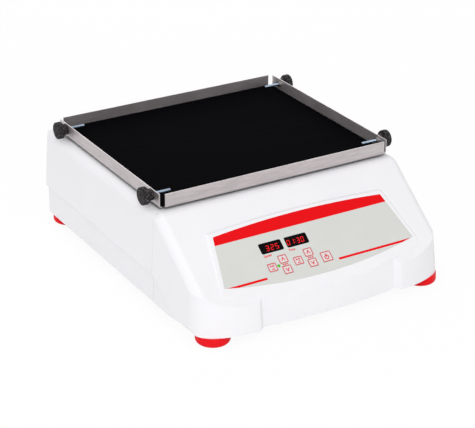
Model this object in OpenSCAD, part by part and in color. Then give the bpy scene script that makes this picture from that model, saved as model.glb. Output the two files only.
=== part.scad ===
// Reciprocating bench shaker: a flat flanged tray that slides from side to side on two guide
// rods, driven by a motor, a belt and a crank pin in a slotted yoke, on a moulded case with a
// sloping control panel. Origin at the centre of the base on the bench, +Z up, the panel at -Y.

/* [Case] */
// Width over the lower edge of the rear cover
case_w = 359; // [340:1:390]
// Depth over the front and the lower edge of the rear cover
case_d = 434; // [420:1:460]
// Height of the flat deck under the tray
deck_z = 130.5; // [126:0.5:140]
// Height of the bottom edge of the case
skirt_z = 12.6; // [10:0.2:16]
// Height of the step between the rear cover and the base pan
step_z = 51.6; // [46:0.2:56]
// Wall of the mouldings
wall = 3; // [2.4:0.1:3.4]
// Front edge of the rear cover, from the centre
seam_y = -92; // [-94:0.5:-90]
// Gap along the seam between the covers
seam_gap = 0.4; // [0.2:0.1:0.8]
// Step in from the rear cover to the base pan
pan_step = 2; // [1:0.1:3]
// Rounding of the long top edges
edge_r = 12; // [8:0.5:14]
// Rounding of the rear corners in plan
rear_corner_r = 12; // [8:0.5:20]
// Lean of the sides
side_lean = 3.26; // [2:0.02:4]
// Lean of the back
back_lean = 1.8; // [1:0.1:3]

/* [Console] */
// Lean of the front face
front_lean = 7.6; // [4:0.1:10]
// Slope of the moulding around the panel
slope_angle = 36.4; // [35:0.1:38]
// Where the deck and the slope would meet, from the centre
slope_y = -97.9; // [-100:0.1:-96]
// Rounding between the deck and the slope
brow_r = 16; // [10:0.5:16]
// Rounding between the slope and the front of the corner pillars
nose_r = 8; // [4:0.5:12]
// Toe-in of the console's sides towards the front
side_toe = 3.4; // [2:0.1:4]
// Tight part of the front corners in plan
corner_r = 32; // [24:1:36]
// Gentle part of the front corners in plan
corner_sweep_r = 130; // [110:1:160]
// Radius of the bowed face between the corner pillars
bow_r = 716; // [600:1:900]
// Half width of the bowed face
bow_half = 95; // [85:1:105]
// Run of the slanted wall beside each pillar
pillar_run = 6.5; // [4:0.5:9]

/* [Panel] */
// Slope of the panel face
panel_angle = 37.7; // [36.5:0.1:38.5]
// Middle of the label, from the centre
panel_y = -163.25; // [-166:0.25:-160]
// Height of the middle of the label
panel_z = 85.1; // [84:0.1:86.5]
// Half width of the label along its top
label_top = 121; // [110:1:126]
// Half width of the label along its bottom
label_low = 135.6; // [125:1:138]
// Height of the label between its corners
label_h = 66; // [60:0.5:70]
// Rise of the label's top edge at the middle
label_rise = 6; // [3:0.5:8]
// Drop of the label's bottom edge at the middle
label_drop = 14.5; // [8:0.5:16]
// Thickness of the label
label_t = 0.4; // [0.3:0.05:0.6]
// Margin of the raised face beside and above the label
face_margin = 4.5; // [3:0.5:6]
// Run of the bevel around the raised face
bevel_run = 4.2; // [2:0.1:6]
// Width of a display window
window_w = 30.4; // [24:0.2:32]
// Height of a display window
window_h = 12.6; // [10:0.2:14]
// Travel of a key
key_travel = 0.4; // [0.2:0.05:0.5]

/* [Tray] */
// Width of the tray
tray_w = 330.2; // [300:0.1:340]
// Depth of the tray
tray_d = 279.4; // [260:0.1:285]
// Gap between the deck and the tray
tray_gap = 2.7; // [2:0.1:9]
// Height of the flanges, with the floor
flange_h = 18.2; // [17:0.1:24]
// Thickness of the tray's sheet
sheet_t = 1.2; // [1:0.1:1.5]
// Outer radius of the tray's bends
bend_r = 2.6; // [2:0.1:4]
// Middle of the tray, from the centre
tray_y = 48.8; // [48:0.1:50]
// Gap at a corner from the end of a front or rear flange
corner_gap = 6.1; // [5:0.1:9]
// Gap at a corner from the end of a side flange
side_gap = 3.9; // [3:0.1:7]
// Thickness of the rubber mat
mat_t = 3.5; // [2:0.1:4]
// Travel of the tray each way
stroke_half = 9.5; // [6:0.5:10]

/* [Thumb screws] */
// Distance of the screws in front of and behind the tray's middle
thumb_pitch = 117; // [100:0.5:120]
// Height of the screws above the tray's underside
thumb_h = 11.2; // [10.5:0.1:11.5]
// Diameter of the fluted head
knob_d = 22.8; // [18:0.2:23]
// Length of the fluted head
knob_l = 8.2; // [6:0.1:10]
// Diameter of the hub
hub_d = 14.6; // [10:0.2:16]
// Length of the hub
hub_l = 6.7; // [5:0.1:8]
// Diameter of the stud
stud_d = 4; // [3:0.1:5]
// Length of the stud inside the flange
stud_l = 24; // [18:0.5:28]

/* [Feet] */
// Diameter of a foot
foot_d = 42.6; // [36:0.2:44]
// Distance of the front feet's middles from the case's side
foot_front_side = 28.8; // [27:0.1:36]
// Distance of the rear feet's middles from the case's side
foot_rear_side = 24.5; // [24:0.5:32]
// Distance of the front feet's middles from the case's front
foot_front_in = 28.8; // [27:0.1:40]
// Distance of the rear feet's middles from the case's back
foot_rear_in = 25.5; // [25:0.5:40]

/* [Drive] */
// Diameter of a guide rod
rod_d = 10; // [8:0.5:12]
// Distance of the rods in front of and behind the tray's middle
rod_pitch = 85; // [80:1:90]
// Height of the rods
rod_z = 96; // [95:0.5:97]
// Distance of the end frames from the middle
frame_x = 150; // [146:1:155]
// Radius of the crank disc
disc_r = 45; // [40:1:50]
// Radius of the motor pulley
pulley_r = 15; // [12:0.5:16]
// Distance of the motor from the crank
motor_x = 100; // [96:1:104]
// Diameter of the pin's roller
roller_d = 19; // [16:0.5:22]
// Clearance of a sliding or turning fit, on the radius
run_fit = 0.05; // [0.03:0.01:0.1]
// Clearance between the roller and each side of its slot
yoke_play = 2.3; // [2.2:0.1:3]

/* [Hidden] */
$fn = 48;

front_y = -case_d / 2;
back_y = case_d / 2;
through = 200;             // reach of a cut that passes right through
skin = 0.3;                // gap beside pieces that slide or tilt next to each other
side_rate = tan(side_lean);
deck_half = case_w / 2 - (deck_z - step_z) * side_rate;
pan_half = case_w / 2 - pan_step;
foot_front_x = case_w / 2 - foot_front_side;
foot_rear_x = case_w / 2 - foot_rear_side;
foot_front_y = front_y + foot_front_in;
foot_rear_y = back_y - foot_rear_in;
pan_back = back_y - 1.6 * pan_step;
toe_rate = tan(side_toe);
tray_z = deck_z + tray_gap;
arc_step = 7.5;            // degrees of turn to a facet on the mouldings' rounded edges

// Pan, chassis and drive heights
floor_t = 3.4;
floor_z = skirt_z + floor_t;
chassis_t = 2.5;
base_z = floor_z + chassis_t;
carriage_t = 5;
block_h = 32;
block_w = 32;
block_l = 34;
block_x = 60;
carriage_z = rod_z + block_h / 2;
post_x = 75;
post_y = 60;
post_r = 8;
bush_r = rod_d / 2 + 2.5;
disc_z = 79;
disc_t = 8;
groove_d = 2.5;
belt_t = 2;
belt_gap = 0.25;
yoke_z = 98;
roller_t = 11;
roller_z = carriage_z - roller_t - 1.2;
pin_r = 5;
shaft_r = 6;
shaft_z = 26;
bearing_r = 14;
bearing_t = 9;
housing_r = 22;
housing_top = 72;
motor_r = 29;
bracket_z = 72;
bracket_t = 4;
bracket_margin = 4;
motor_shaft_r = 4;

// Moulded bosses that the case screws go up into, and the screws
boss_r = 4.5;
screw_r = 1.8;
screw_head_r = 3.6;
screw_head_t = 1.6;
boss_hole = base_z + 18;
console_boss = [case_w / 2 - 75.5, slope_y - 52.1];
lightening_r = 22;
cover_bosses = [[case_w / 2 - 16.5, seam_y + 20], [case_w / 2 - 16.5, back_y - 55]];
arch_h = 6;

// Vent slots in the pan, and the same ones in the chassis above them
vent_w = 4;
vent_pitch = 12;
vent_count = 7;

function unit(v) = v / norm(v);

// The arc that rounds the corner v between its neighbours a and b
function corner_arc(a, v, b, r) =
    r <= 0 ? [v] :
    let (ua = unit(a - v), ub = unit(b - v), half = acos(ua * ub) / 2,
        c = v + unit(ua + ub) * r / sin(half),
        p = v + ua * r / tan(half), q = v + ub * r / tan(half),
        start = atan2(p.y - c.y, p.x - c.x), end = atan2(q.y - c.y, q.x - c.x),
        turn = (end - start + 540) % 360 - 180, steps = max(2, ceil(abs(turn) / arc_step)))
    [for (i = [0:steps]) c + r * [cos(start + turn * i / steps), sin(start + turn * i / steps)]];

// An outline with its corners rounded
function rounded(points, radii) =
    let (n = len(points))
    [for (i = [0:n - 1])
        each corner_arc(points[(i + n - 1) % n], points[i], points[(i + 1) % n], radii[i])];

// An anticlockwise outline moved in by d on every side
function inset(points, d) =
    let (n = len(points))
    [for (i = [0:n - 1])
        let (v = points[i], ea = unit(v - points[(i + n - 1) % n]),
            eb = unit(points[(i + 1) % n] - v), na = [-ea.y, ea.x], nb = [-eb.y, eb.x])
        v + (na + nb) * d / (1 + na * nb)];

function shrink(radii, d) = [for (r = radii) max(0, r - d)];

function arc(c, r, from, to, steps) =
    [for (i = [0:steps])
        let (a = from + (to - from) * i / steps)
        c + r * [cos(a), sin(a)]];

// An arched line from one point to the other, bulging to its right by rise
function arched(p, q, rise, steps) =
    let (chord = norm(q - p), r = (chord * chord / 4 + rise * rise) / (2 * abs(rise)),
        side = sign(rise) * [(q - p).y, -(q - p).x] / chord,
        c = (p + q) / 2 + side * (abs(rise) - r), start = atan2(p.y - c.y, p.x - c.x),
        end = atan2(q.y - c.y, q.x - c.x), turn = (end - start + 540) % 360 - 180)
    [for (i = [0:steps])
        let (a = start + turn * i / steps)
        c + r * [cos(a), sin(a)]];

// Profile in YZ, swept along X
module across(length) rotate([90, 0, 90]) linear_extrude(length, center = true) children();

// Section in XZ, swept along Y
module along(length) rotate([90, 0, 0]) linear_extrude(length, center = true) children();

module both_sides() {
    children();
    mirror([1, 0, 0]) children();
}

module on_panel() translate([0, panel_y, panel_z]) rotate([panel_angle, 0, 0]) children();

// Section across the case: sides that lean in, rounded into the top at height 0
module side_section(half, rate, depth, d) {
    points = [[-half - rate * depth, -depth], [half + rate * depth, -depth], [half, 0], [-half, 0]];
    polygon(rounded(inset(points, d), shrink([0, 0, edge_r, edge_r], d)));
}

// Rear part of the case, moved in by d
module rear_form(d, from, low) {
    lean = tan(back_lean);
    profile = [[from, low], [back_y + (step_z - low) * lean, low],
        [back_y - (deck_z - step_z) * lean, deck_z], [from, deck_z]];
    difference() {
        intersection() {
            across(2 * case_w) polygon(rounded(inset(profile, d), shrink([0, 0, edge_r, 0], d)));
            translate([0, 0, deck_z]) along(2 * case_d) side_section(deck_half, side_rate, deck_z, d);
        }
        both_sides() rear_corner_cut(d);
    }
}

// What the rounding of one leaning rear corner takes away
module rear_corner_cut(d) {
    r = rear_corner_r - d;
    translate([case_w / 2, back_y, step_z])
        rotate([back_lean, 0, 0])
            rotate([0, -side_lean, 0])
                translate([-rear_corner_r, -rear_corner_r, -through])
                    linear_extrude(2 * through)
                        difference() {
                            square(2 * rear_corner_r);
                            circle(r);
                        }
}

// Half width of the console at depth y and height z, where its side is flat
function console_half(y, z) = case_w / 2 - (z - step_z) * side_rate - (seam_y - y) * toe_rate;

// Front part of the case, moved in by d
module console_form(d, to, low) {
    rate = tan(slope_angle);
    lean = tan(front_lean);
    nose_z = (deck_z + (front_y - skirt_z * lean - slope_y) * rate) / (1 - lean * rate);
    nose_y = front_y + (nose_z - skirt_z) * lean;
    profile = [[front_y + (low - skirt_z) * lean, low], [to, low], [to, deck_z],
        [slope_y, deck_z], [nose_y, nose_z]];
    brow = min(brow_r, (to - slope_y) / tan(slope_angle / 2) - 0.1);
    brow_drop = brow * (1 / cos(slope_angle / 2) - 1);
    intersection() {
        across(2 * case_w)
            polygon(rounded(inset(profile, d), [0, 0, 0, max(1, brow - d), max(1, nose_r - d)]));
        top_edges(0, 0, 0.02, d);
        top_edges(slope_angle / 2, brow_drop, 0.04, d);
        top_edges(slope_angle, 0, 0.06, d);
        front_corner(d);
        mirror([1, 0, 0]) front_corner(d);
    }
}

// Everything below a plane that falls to the front at the angle, drop below the brow, with the
// edges along the console's sides rounded. The margin keeps this form's sides clear of the corners'.
module top_edges(angle, drop, margin, d) {
    fall = toe_rate * sin(angle) + side_rate * cos(angle);
    turn = atan(toe_rate * cos(angle) - side_rate * sin(angle));
    half = console_half(slope_y, deck_z) + drop * fall + margin;
    widening = fall * cos(turn);
    points = [[-2 * case_w, -case_d], [widening * case_d, -case_d], [0, 0], [-2 * case_w, 0]];
    intersection_for (side = [0, 1])
        mirror([side, 0, 0])
            translate([0, slope_y, deck_z])
                rotate([angle, 0, 0])
                    translate([half, 0, -drop])
                        rotate([0, 0, -turn])
                            along(2 * case_d)
                                polygon(rounded(inset(points, d), shrink([0, 0, edge_r, 0], d)));
}

// Everything on the inner side of one leaning front corner, tight at the side and then gentle
module front_corner(d) {
    front_rate = tan(front_lean);
    lean = atan((side_rate - toe_rate * front_rate) * cos(front_lean));
    toe = atan((toe_rate * cos(front_lean) + side_rate * sin(front_lean)) / cos(lean));
    half = console_half(front_y, skirt_z);
    back = [sin(toe), cos(toe)];
    inward = [-cos(toe), sin(toe)];
    sweep_c = [front_flat - half, corner_sweep_r];
    gap = corner_r * inward - sweep_c;
    reach = -gap * back
        - sqrt(pow(gap * back, 2) - gap * gap + pow(corner_sweep_r - corner_r, 2));
    tight_c = corner_r * inward + reach * back;
    turn = atan2(tight_c.y - sweep_c.y, tight_c.x - sweep_c.x);
    outline = concat(
        [[-2 * case_w, d], [sweep_c.x, d]],
        arc(sweep_c, corner_sweep_r - d, -90, turn, 10),
        arc(tight_c, corner_r - d, turn, -toe, 10),
        [inward * d + back * case_d, [-2 * case_w, case_d]]);
    translate([half, front_y, skirt_z])
        rotate([-front_lean, 0, 0])
            rotate([0, -lean, 0])
                translate([0, 0, -through])
                    linear_extrude(2 * through)
                        polygon(outline);
}

front_flat = bow_half + pillar_run + 3.5;

// The bowed cylinder whose front the panel's lip and the face below it follow, moved in by d
module bow(d)
    translate([0, front_y, skirt_z])
        rotate([-front_lean, 0, 0])
            translate([0, bow_r, -through])
                cylinder(r = bow_r - d, h = 2 * through, $fn = 360);

// Prism between the corner pillars, in front of the bowed face
module pillar_gap(half)
    translate([0, front_y, skirt_z])
        rotate([-front_lean, 0, 0])
            translate([0, 0, -through])
                linear_extrude(2 * through)
                    polygon(rounded([[-half - 3 * pillar_run, -2 * pillar_run],
                        [half + 3 * pillar_run, -2 * pillar_run], [half, pillar_run],
                        [-half, pillar_run]], [0, 0, 2.5, 2.5]));

function face_outline(grow) =
    let (top = label_h / 2 + face_margin + grow, side = face_margin + grow,
        flare = (label_low - label_top) / label_h, low = -label_h)
    concat(
        arched([label_top + side + (label_h / 2 - top) * flare, top],
            [-label_top - side - (label_h / 2 - top) * flare, top], label_rise - 1, 16),
        [[-label_low - side - (-label_h / 2 - low) * flare, low],
            [label_low + side + (-label_h / 2 - low) * flare, low]]);

function label_outline(d) =
    concat(
        arched([label_top - d, label_h / 2 - d], [d - label_top, label_h / 2 - d], label_rise, 16),
        arched([d - label_low, d - label_h / 2], [label_low - d, d - label_h / 2], label_drop, 24));

// The raised face that carries the label, bevelled around its top and sides
module raised_face() {
    root = 7;              // depth of the face's foot below the label
    intersection() {
        on_panel() hull() {
            translate([0, 0, -label_t - 0.1]) linear_extrude(0.1) polygon(face_outline(0));
            translate([0, 0, -root]) linear_extrude(0.1) polygon(face_outline(2 * bevel_run));
        }
        bow(0);
    }
}

// Keys, in the panel's plane: middle, and size
key_size = [11.6, 10.6];
start_size = [14, 13];
keys = [[[-65, -23.4], key_size], [[-47.2, -16.4], key_size], [[-47.2, -30.8], key_size],
    [[-28.6, -23.5], key_size], [[-11.4, -16.4], key_size], [[-11.4, -30.8], key_size],
    [[9.5, -28], start_size]];
key_t = 0.8;
stem_r = 1.8;
windows = [[-54.8, 3], [-18.6, 3]];
led_at = [-56.2, -23.4];
led_r = 1.4;
board_w = -18;             // front of the control board behind the label
board_t = 1.6;
board_at = [-29, -10];
board_size = [104, 62];
board_hole = [48, 27];
switch_body = 4;

module label_plate(z, t, grow)
    on_panel() translate([0, 0, z]) linear_extrude(t) polygon(label_outline(-grow));

// The room inside the console, d behind its faces
module console_space(d, to, low)
    intersection() {
        console_form(d, to, low);
        union() {
            bow(d);
            both_sides()
                translate([bow_half + 3 * pillar_run, -case_d, -through])
                    cube([case_w, 2 * case_d, 2 * through]);
        }
    }

module console_bosses()
    both_sides()
        translate([console_boss.x, console_boss.y, base_z + skin]) cylinder(r = boss_r, h = deck_z);

module console_cover()
    color("white")
        difference() {
            union() {
                difference() {
                    console_form(0, seam_y - seam_gap, skirt_z);
                    difference() {
                        pillar_gap(bow_half);
                        bow(0);
                    }
                    both_sides() {
                        side_relief(0);
                        side_arch();
                    }
                }
                raised_face();
            }
            difference() {
                console_space(wall, seam_y + 2 * wall, skirt_z - 2 * wall);
                console_bosses();
                both_sides() side_relief(wall);
            }
            for (w = windows)
                on_panel() translate([w.x, w.y, 0]) window_hole();
            for (k = keys)
                on_panel() translate([k[0].x, k[0].y, 0]) key_pocket(k[1]);
            on_panel() translate([led_at.x, led_at.y, board_w]) cylinder(r = led_r + 0.1, h = 30);
            both_sides()
                translate([console_boss.x, console_boss.y, 0])
                    cylinder(r = screw_r + 0.02, h = boss_hole);
        }

module window_hole() {
    translate([0, 0, -label_t - 0.8]) block(window_w + 0.2, window_h + 0.2, 5);
    translate([0, 0, board_w]) block(window_w - 1.6, window_h - 1.6, 30);
}

module key_pocket(size) {
    translate([0, 0, -label_t - key_t]) block(size.x + 2 * skin, size.y + 2 * skin, 5);
    translate([0, 0, board_w]) cylinder(r = stem_r + skin, h = 30);
}

// A box centred in X and Y, standing on z = 0
module block(x, y, z) translate([-x / 2, -y / 2, 0]) cube([x, y, z]);

// Shallow relief low on each side, between the seam and the front foot, grown by the wall behind it
module side_relief(back)
    translate([pan_half - back + through / 2, 0, 0])
        across(through)
            polygon(inset([[seam_y + 1, step_z - 0.5], [seam_y - 5, step_z - 1.5],
                [seam_y - 58, skirt_z - 1], [seam_y + 1, skirt_z - 1]], -back));

// Shallow arch in the bottom edge of each side, behind the front foot
module side_arch()
    translate([pan_half, 0, 0])
        across(8 * wall)
            polygon(rounded([[seam_y - 40, skirt_z - 0.01], [foot_front_y - 2, skirt_z - 0.01],
                [foot_front_y + 15, skirt_z + arch_h]], [0, 0, 22]));

module rear_cover()
    color("white")
        difference() {
            union() {
                difference() {
                    rear_form(0, seam_y, step_z);
                    rear_form(wall, seam_y - 2 * wall, step_z - 2 * wall);
                }
                intersection() {
                    rear_form(wall / 2, seam_y + 0.01, step_z - through);
                    for (p = cover_bosses)
                        both_sides()
                            translate([p.x, p.y, base_z + skin]) cylinder(r = boss_r, h = deck_z);
                }
            }
            for (p = cover_bosses)
                both_sides() translate([p.x, p.y, 0]) cylinder(r = screw_r + 0.02, h = boss_hole);
            for (x = [-post_x, post_x], y = [-post_y, post_y])
                translate([x, tray_y + y, deck_z - 2 * wall])
                    slot_hole(2 * (post_r + 2), 2 * stroke_half, 4 * wall);
        }

// An upright slot of width d whose round ends stand run apart in X
module slot_hole(d, run, h) {
    translate([-run / 2, -d / 2, 0]) cube([run, d, h]);
    both_sides() translate([run / 2, 0, 0]) cylinder(d = d, h = h);
}

pan_gap = 0.7;             // gap between the pan's floor and the console's walls
pan_lip = 1.5;             // thickness of the tongue that locates the rear cover
lip_h = 5;

module plan_box(half, y0, y1, r0, r1)
    polygon(rounded([[-half, y0], [half, y0], [half, y1], [-half, y1]], [r0, r0, r1, r1]));

module base_pan() {
    tongue_half = case_w / 2 - wall - skin;
    color("white")
        difference() {
            union() {
                translate([0, 0, skirt_z])
                    linear_extrude(step_z - skirt_z - seam_gap)
                        plan_box(pan_half, seam_y, pan_back, 0.01, rear_corner_r);
                translate([0, 0, floor_z])
                    linear_extrude(step_z + lip_h - floor_z)
                        plan_box(tongue_half - 0.3, seam_y, back_y - wall - skin - 0.2, 0.01,
                            rear_corner_r - wall);
                difference() {
                    intersection() {
                        console_space(wall + pan_gap, seam_y + 2 * wall, skirt_z - 2 * wall);
                        translate([0, seam_y + 0.5 - case_d / 2, skirt_z])
                            block(case_w, case_d, floor_t);
                    }
                    both_sides() side_relief(wall + pan_gap);
                }
            }
            translate([0, 0, floor_z])
                linear_extrude(through)
                    plan_box(tongue_half - 0.3 - pan_lip, seam_y - 1, back_y - wall - pan_lip - 0.7,
                        0.01, rear_corner_r - wall - pan_lip);
            for (i = [0:vent_count - 1])
                translate([(i - (vent_count - 1) / 2) * vent_pitch - 30, back_y - 100, skirt_z - 1])
                    rotate([0, 0, 90]) slot_hole(vent_w, 30, 3 * floor_t);
            foot_places() translate([0, 0, skirt_z - 1]) cylinder(r = foot_bolt_r + 0.2, h = 20);
            screw_places() {
                translate([0, 0, skirt_z - 1]) cylinder(r = screw_r + 0.2, h = 20);
                translate([0, 0, skirt_z - 1]) cylinder(r = screw_head_r + 0.2, h = 3);
            }
            translate([inlet_x, back_y, inlet_z])
                rotate([90, 0, 0])
                    translate([0, 0, -1]) block(inlet_body.x + 2 * skin, inlet_body.y + 2 * skin, 12);
            translate([switch_x, back_y, inlet_z])
                rotate([90, 0, 0])
                    translate([0, 0, -1])
                        block(switch_body_size.x + 2 * skin, switch_body_size.y + 2 * skin, 12);
        }
}

module foot_places() {
    both_sides() translate([foot_front_x, foot_front_y, 0]) children();
    both_sides() translate([foot_rear_x, foot_rear_y, 0]) children();
}

foot_bolt_r = 2.5;
nut_t = 4;
foot_round = 4.6;          // rounding of a foot's lower edge

module screw_places() {
    for (p = cover_bosses)
        both_sides() translate([p.x, p.y, 0]) children();
    both_sides() translate([console_boss.x, console_boss.y, 0]) children();
}

module feet()
    color("red")
        foot_places()
            rotate_extrude($fn = 64)
                polygon(concat(
                    [[foot_bolt_r + 0.2, 5], [5.5, 5], [5.5, 0]],
                    arc([foot_d / 2 - foot_round, foot_round], foot_round, -90, 0, 10),
                    [[foot_d / 2 - 0.6, skirt_z], [foot_bolt_r + 0.2, skirt_z]]));

module foot_screws()
    color("silver")
        foot_places() {
            translate([0, 0, 2.4]) cylinder(r = 4.6, h = 2.6);
            translate([0, 0, 4]) cylinder(r = foot_bolt_r, h = base_z + nut_t + 1 - 4);
        }

module chassis_plate()
    color("gainsboro")
        difference() {
            union() {
                translate([0, 0, floor_z])
                    linear_extrude(chassis_t)
                        plan_box(chassis_half, chassis_front, chassis_back, 0.01, 8);
                intersection() {
                    console_space(wall + 5, chassis_front + 20, skirt_z - 2 * wall);
                    translate([0, chassis_front + 5 - case_d / 2, floor_z])
                        block(2 * chassis_half, case_d, chassis_t);
                }
            }
            foot_places() translate([0, 0, floor_z - 1]) cylinder(r = foot_bolt_r + 0.2, h = 9);
            screw_places() translate([0, 0, floor_z - 1]) cylinder(r = screw_r + 0.2, h = 9);
            both_sides()
                translate([block_x, seam_y - 28, floor_z - 1]) cylinder(r = lightening_r, h = 9);
            for (i = [0:vent_count - 1])
                translate([(i - (vent_count - 1) / 2) * vent_pitch - 30, back_y - 100, floor_z - 1])
                    rotate([0, 0, 90]) slot_hole(vent_w, 30, 9);
        }

chassis_half = case_w / 2 - 19.5;
chassis_front = seam_y - 30;
chassis_back = back_y - 17;

module panel_overlay()
    color("lightgray")
        difference() {
            label_plate(-label_t, label_t, 0);
            for (w = windows)
                on_panel() translate([w.x, w.y, -1]) block(window_w + 0.2, window_h + 0.2, 5);
            for (k = keys)
                on_panel()
                    translate([k[0].x, k[0].y, -1])
                        block(k[1].x + 2 * skin, k[1].y + 2 * skin, 5);
            on_panel() translate([led_at.x, led_at.y, -1]) cylinder(r = led_r + 0.1, h = 5);
        }

module display_windows()
    color("black")
        for (w = windows)
            on_panel() translate([w.x, w.y, -label_t - 0.8]) block(window_w, window_h, label_t + 0.8);

module display_modules()
    color("dimgray")
        for (w = windows)
            on_panel()
                translate([w.x, w.y, board_w])
                    block(window_w - 2, window_h - 2, -board_w - label_t - 0.8);

module control_board()
    color("green")
        difference() {
            on_panel()
                translate([board_at.x, board_at.y, board_w - board_t])
                    block(board_size.x, board_size.y, board_t);
            for (x = [-board_hole.x, board_hole.x], y = [-board_hole.y, board_hole.y])
                on_panel()
                    translate([board_at.x + x, board_at.y + y, board_w - 3]) cylinder(r = 1.6, h = 9);
        }

module tact_switches()
    color("silver")
        for (k = keys)
            on_panel()
                translate([k[0].x, k[0].y, board_w]) {
                    block(6, 6, switch_body);
                    cylinder(r = 1.7, h = switch_body + 1);
                }

module status_led()
    color("lime")
        on_panel() translate([led_at.x, led_at.y, board_w]) cylinder(r = led_r, h = -board_w);

// One key: a flat cap in the label's opening and the stem behind it
module key(i)
    color("whitesmoke")
        on_panel()
            translate([keys[i][0].x, keys[i][0].y, 0]) {
                top = board_w + switch_body + 1 + key_travel + 0.1;
                translate([0, 0, -key_t + 0.1]) block(keys[i][1].x, keys[i][1].y, key_t);
                translate([0, 0, top]) cylinder(r = stem_r, h = -top - key_t / 2);
            }

module end_frames() {
    frame_t = 8;
    foot_l = frame_x - frame_t / 2 - motor_x - motor_r - bracket_margin - 1;
    frame_half = rod_pitch + 16;
    window = 2 * rod_pitch - 40;
    color("silver")
        both_sides()
            difference() {
                union() {
                    translate([frame_x - frame_t / 2, tray_y - frame_half, base_z])
                        cube([frame_t, 2 * frame_half, rod_z + 14 - base_z]);
                    translate([frame_x - frame_t / 2 - foot_l, tray_y - frame_half, base_z])
                        cube([foot_l, 2 * frame_half, 5]);
                }
                translate([frame_x - frame_t, tray_y - window / 2, base_z + 16])
                    cube([2 * frame_t, window, rod_z - base_z]);
                for (y = [-rod_pitch, rod_pitch])
                    translate([frame_x - frame_t, tray_y + y, rod_z])
                        rotate([0, 90, 0]) cylinder(d = rod_d + 0.04, h = 2 * frame_t);
            }
}

module guide_rods()
    color("silver")
        for (y = [-rod_pitch, rod_pitch])
            translate([-frame_x - 7, tray_y + y, rod_z])
                rotate([0, 90, 0]) cylinder(d = rod_d, h = 2 * frame_x + 14);

module bearing_places()
    for (x = [-block_x, block_x], y = [-rod_pitch, rod_pitch])
        translate([x, tray_y + y, rod_z]) children();

module bearing_blocks()
    color("silver")
        bearing_places()
            difference() {
                translate([-block_l / 2, -block_w / 2, -block_h / 2])
                    cube([block_l, block_w, block_h]);
                translate([-block_l, 0, 0]) rotate([0, 90, 0]) cylinder(r = bush_r + 0.02, h = 2 * block_l);
            }

module linear_bushings()
    color("goldenrod")
        bearing_places()
            rotate([0, 90, 0])
                difference() {
                    cylinder(r = bush_r, h = block_l, center = true);
                    cylinder(r = rod_d / 2 + run_fit, h = 2 * block_l, center = true);
                }

module carriage_plate()
    color("silver")
        difference() {
            translate([0, tray_y, carriage_z])
                linear_extrude(carriage_t)
                    plan_box(post_x + 20, -rod_pitch - 16, rod_pitch + 16, 8, 8);
            for (y = [-50, 50])
                translate([0, tray_y + y, carriage_z - 1]) slot_hole(26, 60, 9);
        }

module post_places()
    for (x = [-post_x, post_x], y = [-post_y, post_y])
        translate([x, tray_y + y, carriage_z + carriage_t]) children();

module tray_posts()
    color("silver")
        post_places()
            difference() {
                cylinder(r = post_r, h = tray_z - carriage_z - carriage_t);
                translate([0, 0, 4]) cylinder(r = 2.6, h = 20);
            }

module slotted_yoke()
    color("slategray")
        difference() {
            translate([0, tray_y, yoke_z])
                block(roller_d + 2 * yoke_play + 24, roller_d + 2 * stroke_half + 24,
                    carriage_z - yoke_z);
            translate([0, tray_y, yoke_z - 1])
                rotate([0, 0, 90])
                    slot_hole(roller_d + 2 * yoke_play, 2 * stroke_half, carriage_z);
        }

module flange_section(width, height)
    difference() {
        polygon(rounded([[-width / 2, 0], [width / 2, 0], [width / 2, height], [-width / 2, height]],
            [bend_r, bend_r, 0, 0]));
        polygon(rounded([[-width / 2 + sheet_t, sheet_t], [width / 2 - sheet_t, sheet_t],
            [width / 2 - sheet_t, 2 * height], [-width / 2 + sheet_t, 2 * height]],
            [bend_r - sheet_t, bend_r - sheet_t, 0, 0]));
    }

module tray()
    color("lightsteelblue")
        translate([0, tray_y, tray_z])
            difference() {
                union() {
                    rotate([90, 0, 0])
                        linear_extrude(tray_d - 2 * side_gap, center = true)
                            flange_section(tray_w, flange_h);
                    across(tray_w - 2 * corner_gap) flange_section(tray_d, flange_h);
                }
                for (x = [-post_x, post_x], y = [-post_y, post_y])
                    translate([x, y, -1]) cylinder(r = 2.7, h = 9);
                for (x = [-1, 1], y = [-1, 1])
                    translate([x * (tray_w / 2 - corner_gap), y * (tray_d / 2 - side_gap), -1])
                        cylinder(r = relief_r, h = bend_r + 1);
                for (y = [-thumb_pitch, thumb_pitch])
                    translate([0, y, thumb_h])
                        rotate([0, 90, 0]) cylinder(r = insert_r + 0.02, h = 2 * tray_w, center = true);
            }

relief_r = 2.2;            // corner relief of the tray's bends
insert_r = 3;
insert_flange_r = 4.2;

module thumb_place(x, y)
    translate([x * tray_w / 2, tray_y + y * thumb_pitch, tray_z + thumb_h])
        rotate([0, 90 * x, 0]) children();

module thumb_places()
    for (x = [-1, 1], y = [-1, 1])
        thumb_place(x, y) children();

module flange_inserts()
    color("goldenrod")
        thumb_places()
            difference() {
                union() {
                    translate([0, 0, -sheet_t]) cylinder(r = insert_r, h = sheet_t);
                    translate([0, 0, -sheet_t - 2.2]) cylinder(r = insert_flange_r, h = 2.2);
                }
                translate([0, 0, -9]) cylinder(r = stud_d / 2 + 0.15, h = 18);
            }

module mat() {
    mat_gap = 0.4;
    color("black")
        difference() {
            translate([0, tray_y, tray_z + sheet_t])
                linear_extrude(mat_t)
                    plan_box(tray_w / 2 - sheet_t - bend_r, -tray_d / 2 + sheet_t + bend_r,
                        tray_d / 2 - sheet_t - bend_r, mat_gap, mat_gap);
            post_places() translate([0, 0, tray_z - carriage_z - carriage_t]) cylinder(r = 5.4, h = 3);
        }
}

module tray_screws()
    color("silver")
        post_places()
            translate([0, 0, tray_z - carriage_z - carriage_t]) {
                translate([0, 0, sheet_t]) cylinder(r = 4.8, h = 1.4);
                translate([0, 0, -10]) cylinder(r = 2.5, h = 11 + sheet_t);
            }

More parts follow.
